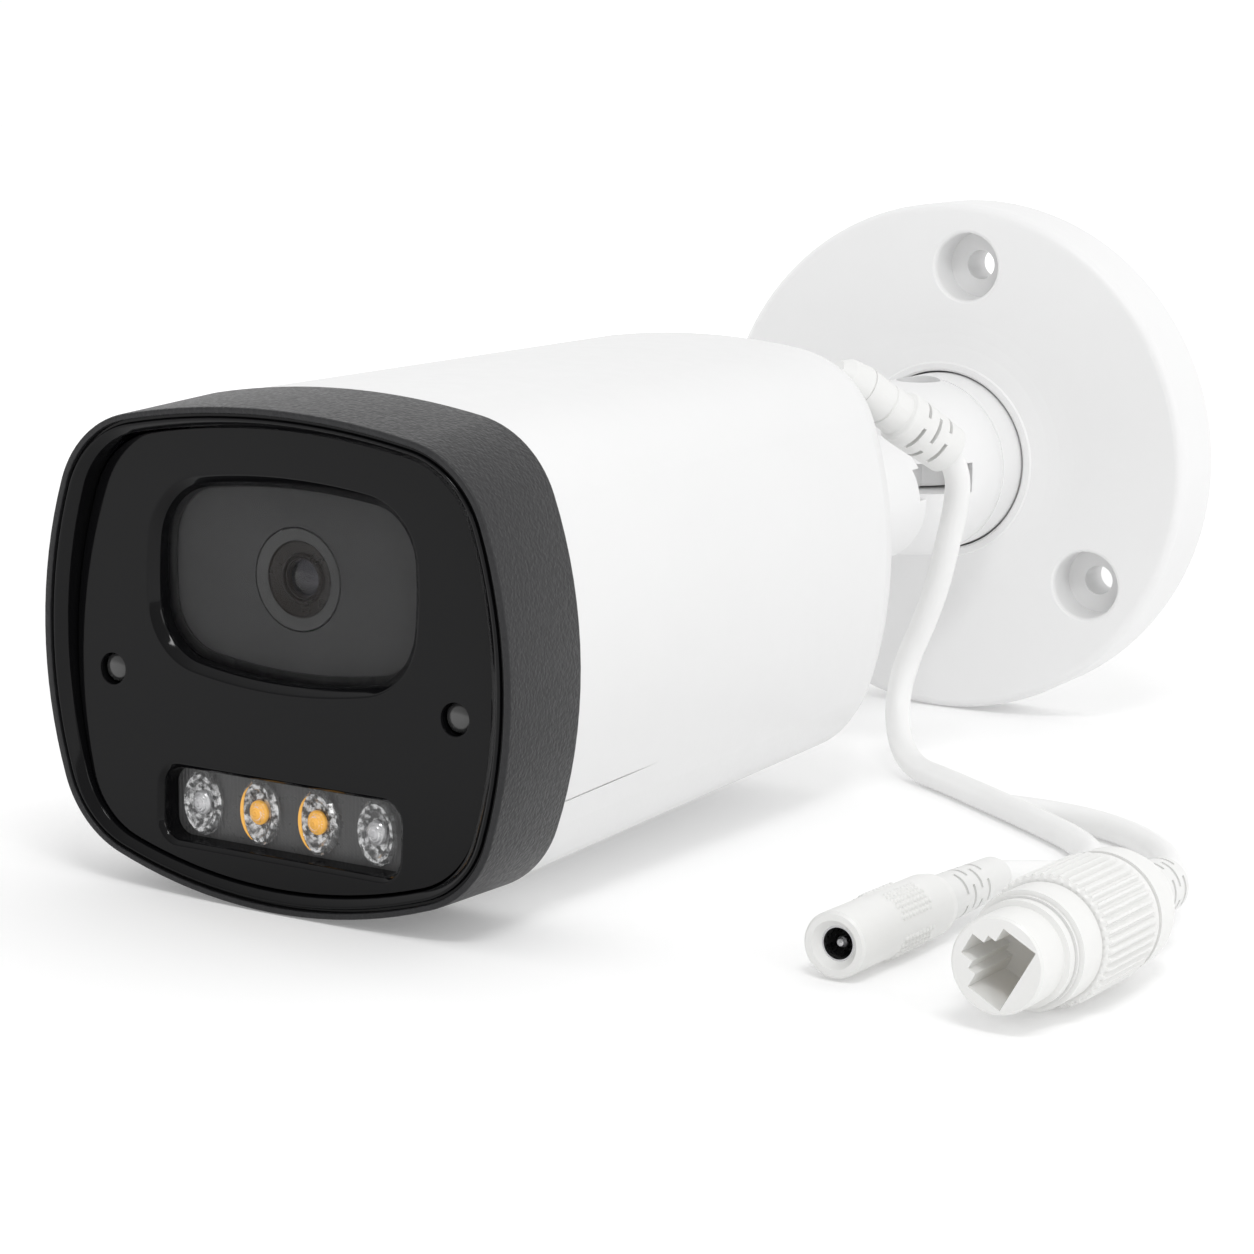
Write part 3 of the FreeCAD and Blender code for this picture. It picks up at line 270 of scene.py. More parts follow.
def moulded(name, colour, roughness, grain=0.0004, depth=0.00001, **sockets):
    """Moulded plastic or vinyl with the fine spark texture of its tool."""
    finish = Finish(name, colour, roughness, **sockets)
    finish.tint(finish.noise(0.012, 3), [channel * 0.95 for channel in colour])
    finish.vary_roughness(finish.noise(0.003, 4), roughness - 0.05, roughness + 0.06)
    finish.bump(finish.noise(grain, 3), depth, 0.6)
    return finish


def leather_grain(name, colour):
    """Hard black plastic with a shallow leather-like grain."""
    finish = Finish(name, colour, 0.4, Specular_IOR_Level=0.33)
    finish.tint(finish.noise(0.0012, 4), [channel * 1.6 for channel in colour])
    finish.vary_roughness(finish.noise(0.0009, 4), 0.34, 0.5)
    finish.bump(finish.ranged(finish.cells(0.0007), 0.0, 0.8), 0.00007, 0.7)
    finish.bump(finish.ranged(finish.noise(0.0009, 2, 0.5), 0.42, 0.58), 0.00005, 0.6)
    finish.bump(finish.noise(0.0003, 3), 0.00002, 0.6)
    return finish


def polished(name, colour, roughness=0.06, **sockets):
    """Smooth glossy plastic."""
    finish = Finish(name, colour, roughness, **sockets)
    finish.tint(finish.noise(0.02, 3), [channel * 1.25 for channel in colour])
    finish.vary_roughness(finish.noise(0.008, 5), roughness, roughness + 0.05)
    finish.bump(finish.noise(0.02, 1), 0.00002, 0.3)
    return finish


def metal(name, colour, roughness=0.28, brushed=(1, 1, 1)):
    """Bare metal, its grain stretched where it is brushed."""
    finish = Finish(name, colour, roughness, Metallic=1.0)
    finish.tint(finish.noise(0.002, 4), [channel * 0.8 for channel in colour])
    grain = finish.noise(0.0008, 4, stretch=brushed)
    finish.vary_roughness(grain, roughness - 0.06, roughness + 0.1)
    finish.bump(finish.noise(0.0004, 3, stretch=brushed), 0.00001, 0.5)
    return finish


def tinted_pane(name, colour, cover):
    """Thin dark pane that lets part of the light straight through."""
    finish = polished(name, colour, 0.03, Specular_IOR_Level=0.3)
    haze = finish.ranged(finish.noise(0.015, 2), 0.3, 0.7, cover - 0.02, cover + 0.02)
    finish.link(haze, finish.shader.inputs["Alpha"])
    return finish


def shards(name, colour):
    """Bright reflector with painted dark spots, standing in for the dark reflections a faceted lens breaks it
    into.
    """
    finish = metal(name, colour, 0.12)
    # Dark spots of painted reflection, not marks on the metal.
    painted_reflection_fleck = finish.ranged(finish.noise(0.0013, 2, stretch=(1, 1, 0.45)), 0.44, 0.6)
    return finish.tint(painted_reflection_fleck, (0.07, 0.07, 0.075))


def clear_plastic(name, colour, cover):
    """Clear moulding with bright facets: mostly see-through, the rest a mirror-like sheen."""
    finish = polished(name, colour, 0.05, Metallic=0.6)
    haze = finish.ranged(finish.noise(0.0011, 3), 0.42, 0.62, cover - 0.16, cover + 0.35)
    finish.link(haze, finish.shader.inputs["Alpha"])
    return finish


def glass(name, colour, **sockets):
    """Clear optical glass."""
    finish = Finish(name, colour, 0.02, Transmission_Weight=1.0, IOR=1.5, **sockets)
    finish.tint(finish.noise(0.01, 2), [channel * 0.97 for channel in colour])
    finish.vary_roughness(finish.noise(0.005, 3), 0.02, 0.04)
    finish.bump(finish.noise(0.01, 1), 0.00001, 0.2)
    return finish


FINISHES = {
    "white_paint": powder_coat("white_paint", (0.77, 0.77, 0.77)),
    "bracket_white": powder_coat("bracket_white", (0.83, 0.83, 0.83)),
    "white_plastic": moulded("white_plastic", (0.83, 0.83, 0.82), 0.45),
    "black_shell": leather_grain("black_shell", (0.012, 0.012, 0.013)),
    "black_gloss": polished("black_gloss", (0.003, 0.003, 0.0034), Specular_IOR_Level=0.18),
    "smoked_glass": tinted_pane("smoked_glass", (0.012, 0.012, 0.013), 0.22),
    "matte_black": moulded("matte_black", (0.008, 0.008, 0.008), 0.5),
    "lens_brown": moulded("lens_brown", (0.02, 0.014, 0.01), 0.3),
    "ring_grey": moulded("ring_grey", (0.11, 0.11, 0.11), 0.4),
    "baffle_grey": moulded("baffle_grey", (0.085, 0.085, 0.086), 0.6, 0.002, 0.000003),
    "lens_glass": glass("lens_glass", (0.75, 0.72, 0.85), Coat_Weight=0.5),
    "clear_lens": clear_plastic("clear_lens", (0.95, 0.96, 0.97), 0.2),
    "tray_dark": moulded("tray_dark", (0.08, 0.08, 0.081), 0.3, 0.0006, 0.00006),
    "infrared_chip": polished("infrared_chip", (0.55, 0.53, 0.5), 0.2),
    # The glow on the amber lens core is painted light; the core is no lamp.
    "amber_core": moulded("amber_core", (0.9, 0.47, 0.09), 0.25, 0.0006, 0.00006,
                          Emission_Color=(1, 0.5, 0.08, 1), Emission_Strength=0.12),
    "silver_core": moulded("silver_core", (0.6, 0.6, 0.61), 0.2, 0.0006, 0.00006, Metallic=0.5),
    # The glow on the warm chip is painted light that brightens its amber.
    "warm_chip": moulded("warm_chip", (0.95, 0.45, 0.04), 0.4, Emission_Color=(1, 0.45, 0.03, 1),
                         Emission_Strength=0.45),
    "board_green": moulded("board_green", (0.01, 0.09, 0.035), 0.35),
    "chip_black": moulded("chip_black", (0.015, 0.015, 0.017), 0.5),
    "silicon": polished("silicon", (0.06, 0.08, 0.14)),
    "plug_dark": polished("plug_dark", (0.03, 0.03, 0.03), 0.18, Specular_IOR_Level=0.8),
    "cup_silver": shards("cup_silver", (0.95, 0.95, 0.96)),
    "steel": metal("steel", (0.55, 0.55, 0.56)),
    "aluminium": metal("aluminium", (0.72, 0.72, 0.73), 0.35, (1, 0.1, 1)),
    "seal_rubber": moulded("seal_rubber", (0.015, 0.015, 0.015), 0.7),
    "cable_white": moulded("cable_white", (0.86, 0.86, 0.855), 0.42, 0.0008, 0.00002),
    "boot_white": moulded("boot_white", (0.78, 0.78, 0.77), 0.45, 0.0005, 0.00002),
    # The connector finish's faint glow is painted light that brightens the white connectors.
    "connector_white": moulded("connector_white", (0.75, 0.75, 0.74), 0.38,
                               Emission_Color=(1, 0.99, 0.93, 1), Emission_Strength=0.05),
    "socket_black": moulded("socket_black", (0.006, 0.006, 0.006), 0.4),
    "contact_gold": metal("contact_gold", (0.9, 0.62, 0.22), 0.22),
    "friction_washer": moulded("friction_washer", (0.78, 0.78, 0.76), 0.4),
}


def dress(piece, slot):
    """Give a new piece the finish of one of the record's slots."""
    piece.data.materials.clear()
    piece.data.materials.append(FINISHES[slot].material)
    return piece


def dress_cad_nodes():
    """Give every slot of the CAD nodes its finish."""
    for name, node in NODES.items():
        for place in node.material_slots:
            place.material = FINISHES[SLOT_OF[name]].material


# ---- cables -------------------------------------------------------------------------------
CABLE_DIAMETER = 5.6 * MM
CABLE_Z = FLOOR_Z + CABLE_DIAMETER / 2
MAIN_ROUTE = [
    (0.03839, -0.11249, 0.01483), (0.04208, -0.10565, 0.01030), (0.0426, -0.1002, 0.0039),
    (0.0406, -0.0970, -0.0036), (0.0380, -0.0950, -0.0126), (0.0352, -0.0932, -0.0220),
    (0.0316, -0.0918, -0.0308), (0.0281, -0.0914, -0.0387), (0.0269, -0.0930, -0.0465),
    (0.0286, -0.0964, -0.0534), (0.0329, -0.1010, -0.0587), (0.0393, -0.1062, CABLE_Z),
    (0.0482, -0.1120, CABLE_Z), (0.0620, -0.1225, CABLE_Z), (0.0795, -0.1360, CABLE_Z),
    (0.0966, -0.1503, CABLE_Z), (0.1060, -0.1645, CABLE_Z), (0.1066, -0.1795, CABLE_Z),
    (0.1024, -0.1915, FLOOR_Z + 0.0048), (0.1010, -0.2010, FLOOR_Z + 0.0061),
]
NETWORK_ROUTE = [
    (0.0706, -0.1296, CABLE_Z), (0.0798, -0.1284, CABLE_Z), (0.0930, -0.1315, CABLE_Z),
    (0.1050, -0.1395, CABLE_Z), (0.1140, -0.1495, CABLE_Z), (0.1200, -0.1615, CABLE_Z),
    (0.1248, -0.1740, FLOOR_Z + 0.0046), (0.1295, -0.1860, FLOOR_Z + 0.0078),
    (0.1342, -0.1970, FLOOR_Z + 0.0106), (0.1366, -0.2080, FLOOR_Z + 0.0114),
]


def cable(name, route, node):
    """Lead along its listed points."""
    curve = bpy.data.curves.new(name, "CURVE")
    curve.dimensions = "3D"
    spline = curve.splines.new("NURBS")
    spline.points.add(len(route) - 1)
    for point, place in zip(spline.points, route):
        point.co = (*place, 1)
    spline.order_u = 3
    spline.use_endpoint_u = True
    spline.resolution_u = 12
    curve.bevel_depth = CABLE_DIAMETER / 2
    curve.bevel_resolution = 8
    curve.use_fill_caps = True
    piece = bpy.data.objects.new(name, curve)
    bpy.context.scene.collection.objects.link(piece)
    dress(piece, "cable_white")
    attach(piece, "head")
    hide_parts(node)


def make_cables(jack_grips, collar):
    """Both leads."""
    cable("main_lead", MAIN_ROUTE, "main_cable")
    cable("network_lead", NETWORK_ROUTE, "network_tail")


# ---- mesh tools ---------------------------------------------------------------------------
def softened(path, radius, closed=False, steps=4):
    """Round the corners of a path of number tuples, as a small fillet does."""
    points = [Vector(point) for point in path]
    triples = list(zip(points, points[1:], points[2:]))
    if closed:
        triples = [(points[index - 1], points[index], points[(index + 1) % len(points)])
                   for index in range(len(points))]
    soft = [] if closed else [points[0]]
    for before, corner, after in triples:
        back, ahead = before - corner, after - corner
        reach = min(radius, 0.45 * back.length, 0.45 * ahead.length)
        start, end = corner + reach * back.normalized(), corner + reach * ahead.normalized()
        for step in range(steps + 1):
            t = step / steps
            soft.append((1 - t) ** 2 * start + 2 * t * (1 - t) * corner + t * t * end)
    return soft if closed else soft + [points[-1]]


def corner_centre(half_w, half_h, side_r, end_r, corner_r):
    """Centre of the corner arc that touches a bulging side and a bulging top from inside."""
    side = (half_w - side_r, 0.0, side_r - corner_r)
    end = (0.0, half_h - end_r, end_r - corner_r)
    dx, dy = end[0] - side[0], end[1] - side[1]
    span = math.hypot(dx, dy)
    along = (side[2] ** 2 - end[2] ** 2 + span ** 2) / (2 * span)
    across = math.sqrt(side[2] ** 2 - along ** 2)
    foot = (side[0] + along * dx / span, side[1] + along * dy / span)
    return foot[0] - across * dy / span, foot[1] + across * dx / span


HEAD_RADII = (88.0, 160.0, 104.0)      # of the head's bulging sides, top and bottom


def bulging_loop(half_w, half_h, y, corner=20.0, middle=0.0, radii=HEAD_RADII):
    """Points round a bulging rounded square, middle above the head's axis."""
    side_r, top_r, low_r = radii
    up = corner_centre(half_w, half_h, side_r, top_r, corner)
    down = corner_centre(half_w, half_h, side_r, low_r, corner)
    side_up = math.atan2(up[1], up[0] - half_w + side_r)
    top_in = math.atan2(up[1] - half_h + top_r, up[0])
    side_down = math.atan2(down[1], down[0] - half_w + side_r)
    low_in = math.atan2(down[1] - half_h + low_r, down[0])
    pi = math.pi
    arcs = [
        ((half_w - side_r, 0), side_r, -side_down, side_up, 16),
        (up, corner, side_up, top_in, 14),
        ((0, half_h - top_r), top_r, top_in, pi - top_in, 20),
        ((-up[0], up[1]), corner, pi - top_in, pi - side_up, 14),
        ((side_r - half_w, 0), side_r, pi - side_up, pi + side_down, 16),
        ((-down[0], -down[1]), corner, pi + side_down, pi + low_in, 14),
        ((0, low_r - half_h), low_r, pi + low_in, 2 * pi - low_in, 20),
        ((down[0], -down[1]), corner, 2 * pi - low_in, 2 * pi - side_down, 14),
    ]
    points = []
    for (x, z), radius, start, end, count in arcs:
        for step in range(count):
            angle = start + (end - start) * step / count
            points.append(Vector((x + radius * math.cos(angle), y,
                                  z + radius * math.sin(angle) + middle - HEAD_DROP)))
    return points


def oval_loop(half_w, half_h, x, y, z, count=64, start=0.0):
    """Points of an ellipse about x and z, in a plane across Y."""
    angles = [start + 2 * math.pi * index / count for index in range(count)]
    return [Vector((x + half_w * math.cos(a), y, z + half_h * math.sin(a))) for a in angles]


def slot_loop(x_range, z_range, radius, y):
    """Points round a rounded rectangle, z measured from the head's axis."""
    (x0, x1), (z0, z1) = x_range, z_range
    centres = [(x1 - radius, z0 + radius, -90), (x1 - radius, z1 - radius, 0),
               (x0 + radius, z1 - radius, 90), (x0 + radius, z0 + radius, 180)]
    points = []
    for x, z, first in centres:
        for step in range(9):
            angle = math.radians(first + 11.25 * step)
            points.append(Vector((x + radius * math.cos(angle), y,
                                  z + radius * math.sin(angle) - HEAD_DROP)))
    return points


def add_skin(mesh, loops, closed=False, first_cap=False, last_cap=False):
    """Quads between loops of equal length; loops of points or of earlier verts."""
    rows = [[item if isinstance(item, bmesh.types.BMVert) else mesh.verts.new(item)
             for item in loop] for loop in loops]
    pairs = list(zip(rows, rows[1:]))
    if closed:
        pairs.append((rows[-1], rows[0]))
    for row, following in pairs:
        for index in range(len(row)):
            after = (index + 1) % len(row)
            mesh.faces.new((row[index], row[after], following[after], following[index]))
    if first_cap:
        mesh.faces.new(rows[0])
    if last_cap:
        mesh.faces.new(rows[-1])
    return rows


def made(name, mesh, slot, replaces=(), place=STRAIGHT_MM, sharp=28.0, body="head"):
    """Turn a bmesh in mm into a finished piece that rides on its body."""
    mesh.transform(place)
    bmesh.ops.recalc_face_normals(mesh, faces=mesh.faces)
    data = bpy.data.meshes.new(name)
    mesh.to_mesh(data)
    mesh.free()
    data.shade_smooth()
    data.set_sharp_from_angle(angle=math.radians(sharp))
    piece = bpy.data.objects.new(name, data)
    bpy.context.scene.collection.objects.link(piece)
    dress(piece, slot)
    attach(piece, body)
    if replaces:
        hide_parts(*replaces)
    return piece


def turned_piece(name, profile, z, slot, replaces, soft, closed=False):
    """Revolve (y, radius) points about the line at height z along Y."""
    mesh = bmesh.new()
    loops = [oval_loop(r, r, 0, y, z, 96) for y, r in softened(profile, soft, closed)]
    add_skin(mesh, loops, closed, not closed, not closed)
    made(name, mesh, slot, replaces)


# ---- head: bezel and panel ----------------------------------------------------------------
PANEL_Y = RIM_Y + 3.2         # face of the glossy panel, at its two round holes
PANEL_LEAN = 2.5              # degrees that the face leans back at the top
PANEL_BACK = RIM_Y + 7.4
FLANGE_Y = RIM_Y + 5.6
TRAY_Y = RIM_Y + 6.6
BEZEL_END = RIM_Y + 24.6
WINDOW = (27.9, 17.3, 13.5)   # half width, half height and height of its middle
WINDOW_CORNER = 11.0
WINDOW_RADII = (75.0, 130.0, 105.0)
LIGHT_SLOT = ((-27.0, 27.4), (-36.4, -21.2))
LIGHT_SLOT_CORNER = 4.6
LIGHTS_Z = -28.8
LIGHT_PITCH = 13.0
LIGHT_SIZE = (4.35, 6.1)
SENSOR_HOLES = ((-37.8, -5.6), (37.8, -5.6))
LENS_Z = 13.8
WARM_LIGHTS = (1, 2)          # the two in the middle; the outer two are infrared
LENS_FACETS = 18
PIVOT = Vector((0, PANEL_Y, SENSOR_HOLES[0][1] - HEAD_DROP))
LEAN = (Matrix.Translation(PIVOT) @ Matrix.Rotation(-math.radians(PANEL_LEAN), 4, "X")
        @ Matrix.Translation(-PIVOT))


def leaning(points, floor_y=None):
    """Tip points back with the panel's face, no deeper than floor_y."""
    tipped = [LEAN @ point for point in points]
    if floor_y is not None:
        for point in tipped:
            point.y = min(point.y, floor_y)
    return tipped


def make_bezel():
    """Grained shell and the glossy double lip at its front rim."""
    shell = [(49.85, 43.95, RIM_Y + 0.9, 19.0), (49.85, 43.95, RIM_Y, 19.0),
             (51.2, 45.1, RIM_Y, 20.0), (50.5, 45.7, RIM_Y + 12.3, 20.0),
             (49.8, 46.31, BEZEL_END, 20.0), (47.4, 43.7, BEZEL_END, 18.0),
             (47.3, 42.3, RIM_Y + 9.0, 18.0)]
    mesh = bmesh.new()
    add_skin(mesh, [bulging_loop(*section) for section in softened(shell, 0.45)])
    made("bezel_shell", mesh, "black_shell", ["front_bezel"])
    lip = [(49.85, 43.95, RIM_Y + 0.9, 19.0), (49.15, 43.25, RIM_Y + 0.9, 18.5),
           (49.1, 43.2, RIM_Y + 0.05, 18.5), (48.5, 42.75, RIM_Y + 0.05, 17.8),
           (46.6, 41.5, RIM_Y + 1.2, 16.5), (46.5, 41.4, FLANGE_Y, 16.5),
           (47.3, 42.2, FLANGE_Y, 17.0)]
    mesh = bmesh.new()
    add_skin(mesh, [bulging_loop(*section) for section in softened(lip, 0.3)])
    made("bezel_lip", mesh, "black_gloss")


def window_loop(grow, depth):
    """Edge of the window, grown outwards and set back from the panel's face."""
    half_w, half_h, middle = WINDOW
    loop = bulging_loop(half_w + grow, half_h + grow, PANEL_Y + depth, WINDOW_CORNER + grow,
                        middle, WINDOW_RADII)
    return leaning(loop, PANEL_BACK)


def light_slot_loop(grow, depth):
    """Edge of the light slot, grown outwards and set back from the panel's face."""
    (x0, x1), (z0, z1) = LIGHT_SLOT
    loop = slot_loop((x0 - grow, x1 + grow), (z0 - grow, z1 + grow), LIGHT_SLOT_CORNER + grow,
                     PANEL_Y + depth)
    return leaning(loop, TRAY_Y)


def sensor_loop(place, radius, depth):
    """Edge of a sensor's round hole, set back from the panel's face."""
    return leaning(oval_loop(radius, radius, place[0], PANEL_Y + depth, place[1] - HEAD_DROP, 48))


def make_panel():
    """Leaning gloss face with its softened openings."""
    mesh = bmesh.new()
    edge = [(45.8, 40.7, PANEL_Y, 16.0), (46.2, 41.1, PANEL_Y, 16.3),
            (46.2, 41.1, PANEL_Y + 4, 16.3)]
    skirts = [[leaning(bulging_loop(*section), FLANGE_Y + 0.6) for section in softened(edge, 0.35)]]
    window = [(2.5, 0.0), (1.9, 0.0), (0.25, 1.6), (0.0, 8.0)]
    skirts.append([window_loop(grow, depth) for grow, depth in softened(window, 0.5)])
    slot = [(0.5, 0.0), (0.0, 0.0), (-0.9, 0.9), (-1.2, 7.0)]
    skirts.append([light_slot_loop(grow, depth) for grow, depth in softened(slot, 0.35)])
    hole = [(3.3, 0.0), (2.9, 0.0), (2.9, 4.0)]
    for place in SENSOR_HOLES:
        skirts.append([sensor_loop(place, radius, depth) for radius, depth in softened(hole, 0.25)])
    rims = []
    for skirt in skirts:
        rim = add_skin(mesh, skirt)[0]
        rims += [mesh.edges.get((rim[index - 1], rim[index])) for index in range(len(rim))]
    outward = LEAN.to_3x3() @ Vector((0, -1, 0))
    bmesh.ops.triangle_fill(mesh, use_beauty=True, edges=rims, normal=outward)
    made("panel_face", mesh, "black_gloss", ["front_panel"])


# ---- head: lens and lights ----------------------------------------------------------------
LENS_FRONT = PANEL_BACK + 1.9


def make_lens():
    """Bevelled ring, stepped cone and front glass of the lens, seen through the window."""
    axis = LENS_Z - HEAD_DROP
    bore, rim, glass_r = 6.9, 9.2, 3.3
    ring = [(LENS_FRONT + 0.5, bore), (LENS_FRONT, rim), (LENS_FRONT + 2.6, rim),
            (LENS_FRONT + 2.6, bore)]
    turned_piece("lens_ring", ring, axis, "ring_grey", ["lens_barrel"], 0.2, closed=True)
    cone = [(LENS_FRONT + 0.5, bore), (LENS_FRONT + 0.9, 6.75), (LENS_FRONT + 1.6, 4.6),
            (LENS_FRONT + 1.1, 4.4), (LENS_FRONT + 1.1, 4.1), (LENS_FRONT + 1.8, 3.9),
            (LENS_FRONT + 1.5, 3.7), (LENS_FRONT + 1.5, 3.45), (LENS_FRONT + 3.0, glass_r)]
    mesh = bmesh.new()
    add_skin(mesh, [oval_loop(r, r, 0, y, axis, 96) for y, r in softened(cone, 0.12)])
    made("lens_cone", mesh, "lens_brown")
    dome = [(LENS_FRONT + 2.9 - 1.3 * math.cos(math.radians(a)),
             glass_r * math.sin(math.radians(a))) for a in range(3, 91, 6)]
    profile = dome + [(LENS_FRONT + 5.0, glass_r)]
    turned_piece("lens_dome", profile, axis, "lens_glass", ["lens_front_element"], 0.02)


def light_places():
    """x and z of the four lights, from left to right."""
    return [(LIGHT_PITCH * (index - 1.5), LIGHTS_Z - HEAD_DROP) for index in range(4)]


def tray_height(x, z):
    """Staggered dimples 0.8 mm apart across the tray."""
    row = z / 0.7
    wave = math.cos(2 * math.pi * (x / 0.8 + 0.5 * row)) * math.cos(math.pi * row)
    return 0.07 * wave


def make_light_tray():
    """Dimpled floor of the light slot."""
    (x0, x1), (z0, z1) = LIGHT_SLOT
    step = 0.2
    columns, rows = round((x1 - x0) / step), round((z1 - z0) / step)
    mesh = bmesh.new()
    grid = []
    for row in range(rows + 1):
        z = z0 + row * step
        grid.append([mesh.verts.new((x0 + column * step,
                                     TRAY_Y + 0.1 - tray_height(x0 + column * step, z),
                                     z - HEAD_DROP)) for column in range(columns + 1)])
    for lower, upper in zip(grid, grid[1:]):
        for index in range(columns):
            mesh.faces.new((lower[index], lower[index + 1], upper[index + 1], upper[index]))
    made("light_tray_sheet", mesh, "tray_dark", ["light_tray"], sharp=80)


def add_light_lens(mesh, x, z):
    """Oval collimator: faceted rim round a crater with a stepped core."""
    half_w, half_h = LIGHT_SIZE
    rim = [(0.80, TRAY_Y + 1.0, 0.0), (1.0, TRAY_Y - 0.2, 0.0), (1.0, TRAY_Y - 0.8, 0.0),
           (0.88, TRAY_Y - 1.5, 0.12), (0.74, TRAY_Y - 1.45, 0.0), (0.60, TRAY_Y - 0.8, 0.2)]
    loops = [oval_loop(half_w * scale, half_h * scale, x, y, z, LENS_FACETS, turn)
             for scale, y, turn in rim]
    core = [(1.9, 2.1, 0.6, 0.0), (1.7, 1.9, 1.4, 0.0), (1.2, 1.35, 1.85, 0.17),
            (0.5, 0.6, 2.1, 0.0)]
    loops += [oval_loop(w, h, x, TRAY_Y - rise, z, LENS_FACETS, turn)
              for w, h, rise, turn in core]
    add_skin(mesh, loops, False, True, True)


def add_core(mesh, x, z):
    """Round, finely dimpled middle of one lens."""
    loops = [oval_loop(1.95, 2.2, x, TRAY_Y - 0.5, z, 36)]
    for ring in range(9):
        size = 2.0 - 0.235 * ring
        rise = 1.3 * math.cos(0.5 * math.pi * size / 2.2) + 0.07 * (ring % 2)
        loop = oval_loop(size, 1.12 * size, x, TRAY_Y - 0.9 - rise, z, 36)
        for step, point in enumerate(loop):
            point.y -= 0.06 * ((step + ring) % 2)
        loops.append(loop)
    add_skin(mesh, loops, False, True, True)


def crescent(x, z):
    """Painted highlight: a bright sickle on the left of a warm lens, standing in for the light its wall gathers.
    """
    mesh = bmesh.new()
    steps, half_w, half_h = 24, 3.75, 5.3
    outer, inner = [], []
    for step in range(steps + 1):
        angle = math.radians(118 + 5.6 * step)
        width = 0.7 * math.sin(math.pi * step / steps)
        outer.append((half_w * math.cos(angle), half_h * math.sin(angle)))
        inner.append(((half_w - width) * math.cos(angle), (half_h - width) * math.sin(angle)))
    rows = [[mesh.verts.new((x + u, TRAY_Y - depth, z + v)) for u, v in edge]
            for edge, depth in ((outer, 1.5), (outer, 1.65), (inner, 1.65), (inner, 1.5))]
    for row, following in zip(rows, rows[1:] + rows[:1]):
        for index in range(steps):
            mesh.faces.new((row[index], row[index + 1], following[index + 1], following[index]))
    return mesh


def make_lights():
    """The row of light lenses with their cores."""
    lenses = bmesh.new()
    for x, z in light_places():
        add_light_lens(lenses, x, z)
    made("light_lens_row", lenses, "clear_lens", ["light_lenses"], sharp=8)
    for index, (x, z) in enumerate(light_places()):
        finish = "amber_core" if index in WARM_LIGHTS else "silver_core"
        core = bmesh.new()
        add_core(core, x, z)
        made(f"light_core_{index + 1}", core, finish, sharp=12)
        if index in WARM_LIGHTS:
            # Each warm lens gets a bright sickle of painted highlight.
            made(f"painted_highlight_{index + 1}", crescent(x, z), finish)
    for index, (x, z) in enumerate(light_places()):
        warm = index in WARM_LIGHTS
        chip = bmesh.new()
        dome = [(2.0, 2.4, TRAY_Y + 2.1), (1.9, 2.3, TRAY_Y + 1.6), (1.3, 1.6, TRAY_Y + 1.3),
                (0.4, 0.5, TRAY_Y + 1.2)]
        add_skin(chip, [oval_loop(w, h, x, y, z, 32) for w, h, y in dome], False, True, True)
        kind = "warm" if warm else "infrared"
        node = {0: ["infrared_lights"], 1: ["warm_lights"]}.get(index, [])
        made(f"{kind}_chip_{index + 1}", chip, f"{kind}_chip", node)
        cup = bmesh.new()
        walls = [(2.1, 2.5, TRAY_Y + 2.2), (3.3, 4.4, TRAY_Y + 1.3), (4.3, 6.0, TRAY_Y + 0.12)]
        add_skin(cup, [oval_loop(w, h, x, y, z, LENS_FACETS) for w, h, y in walls])
        made(f"light_cup_{index + 1}", cup, "cup_silver", sharp=8)


def make_sensor_plugs():
    """Dark domes behind the two round holes."""
    for name, (x, z) in zip(("microphone", "light_sensor"), SENSOR_HOLES):
        low = min(point.y for point in straight_points(name)) - 0.15
        crown = [(low + 1.1 - 1.1 * math.cos(math.radians(a)), 2.75 * math.sin(math.radians(a)))
                 for a in range(4, 91, 5)]
        mesh = bmesh.new()
        loops = [oval_loop(r, r, x, y, z - HEAD_DROP, 48) for y, r in crown + [(low + 3.2, 2.75)]]
        add_skin(mesh, loops, False, True, True)
        made(f"{name}_dome", mesh, "plug_dark", [name])


COVER_FACE = -127.0           # flat rear of the cover
HUB_BACK = -131.0             # front end of the hub, inside the cover
HUB_END = -98.0
HUB_BORE = 13.1               # clears the arm's stem
OUTLET_BASE = Vector((30.6, -125.6, 30.6))
OUTLET_AIM = Vector((0.41, 0.735, -0.54))


def make_rear_cover():
    """Domed cover with its hub, and the neck that leads the outlet boot out of the dome.

    The dome is capped flat front and rear, so the arm's stem passes through it inside the hub.
    """
    start = max(point.y for point in straight_points("main_housing")) + 0.2
    dome = [(44.1, 45.0, start + 0.02), (44.4, 45.3, start + 0.3), (43.2, 44.1, start + 5.5),
            (40.2, 41.2, start + 9.3), (36.0, 37.0, COVER_FACE)]
    mesh = bmesh.new()
    loops = [bulging_loop(*section) for section in softened(dome, 2.6, steps=6)]
    add_skin(mesh, loops, False, True, True)
    hub_path = [(HUB_BACK, HUB_BORE), (HUB_BACK, 22.0), (COVER_FACE, 22.0), (-121.0, 19.6),
                (-117.8, 19.6), (-117.8, 16.4), (HUB_END, 16.4), (HUB_END, HUB_BORE)]
    rings = [oval_loop(r, r, 0, y, -HEAD_DROP, 96) for y, r in softened(hub_path, 0.4, True)]
    add_skin(mesh, rings, True)
    made("rear_cover_shell", mesh, "white_paint", ["rear_cover"])

    turn = Vector((0, 1, 0)).rotation_difference(OUTLET_AIM.normalized()).to_matrix().to_4x4()
    neck = [(-7.0, 2.4), (-4.6, 4.1), (0.2, 4.95), (0.75, 4.7), (0.75, 4.0)]
    mesh = bmesh.new()
    loops = [oval_loop(r, r, 0, y, 0, 72) for y, r in softened(neck, 0.3)]
    add_skin(mesh, loops, False, True, True)
    made("outlet_neck", mesh, "boot_white",
         place=STRAIGHT_MM @ Matrix.Translation(OUTLET_BASE) @ turn)


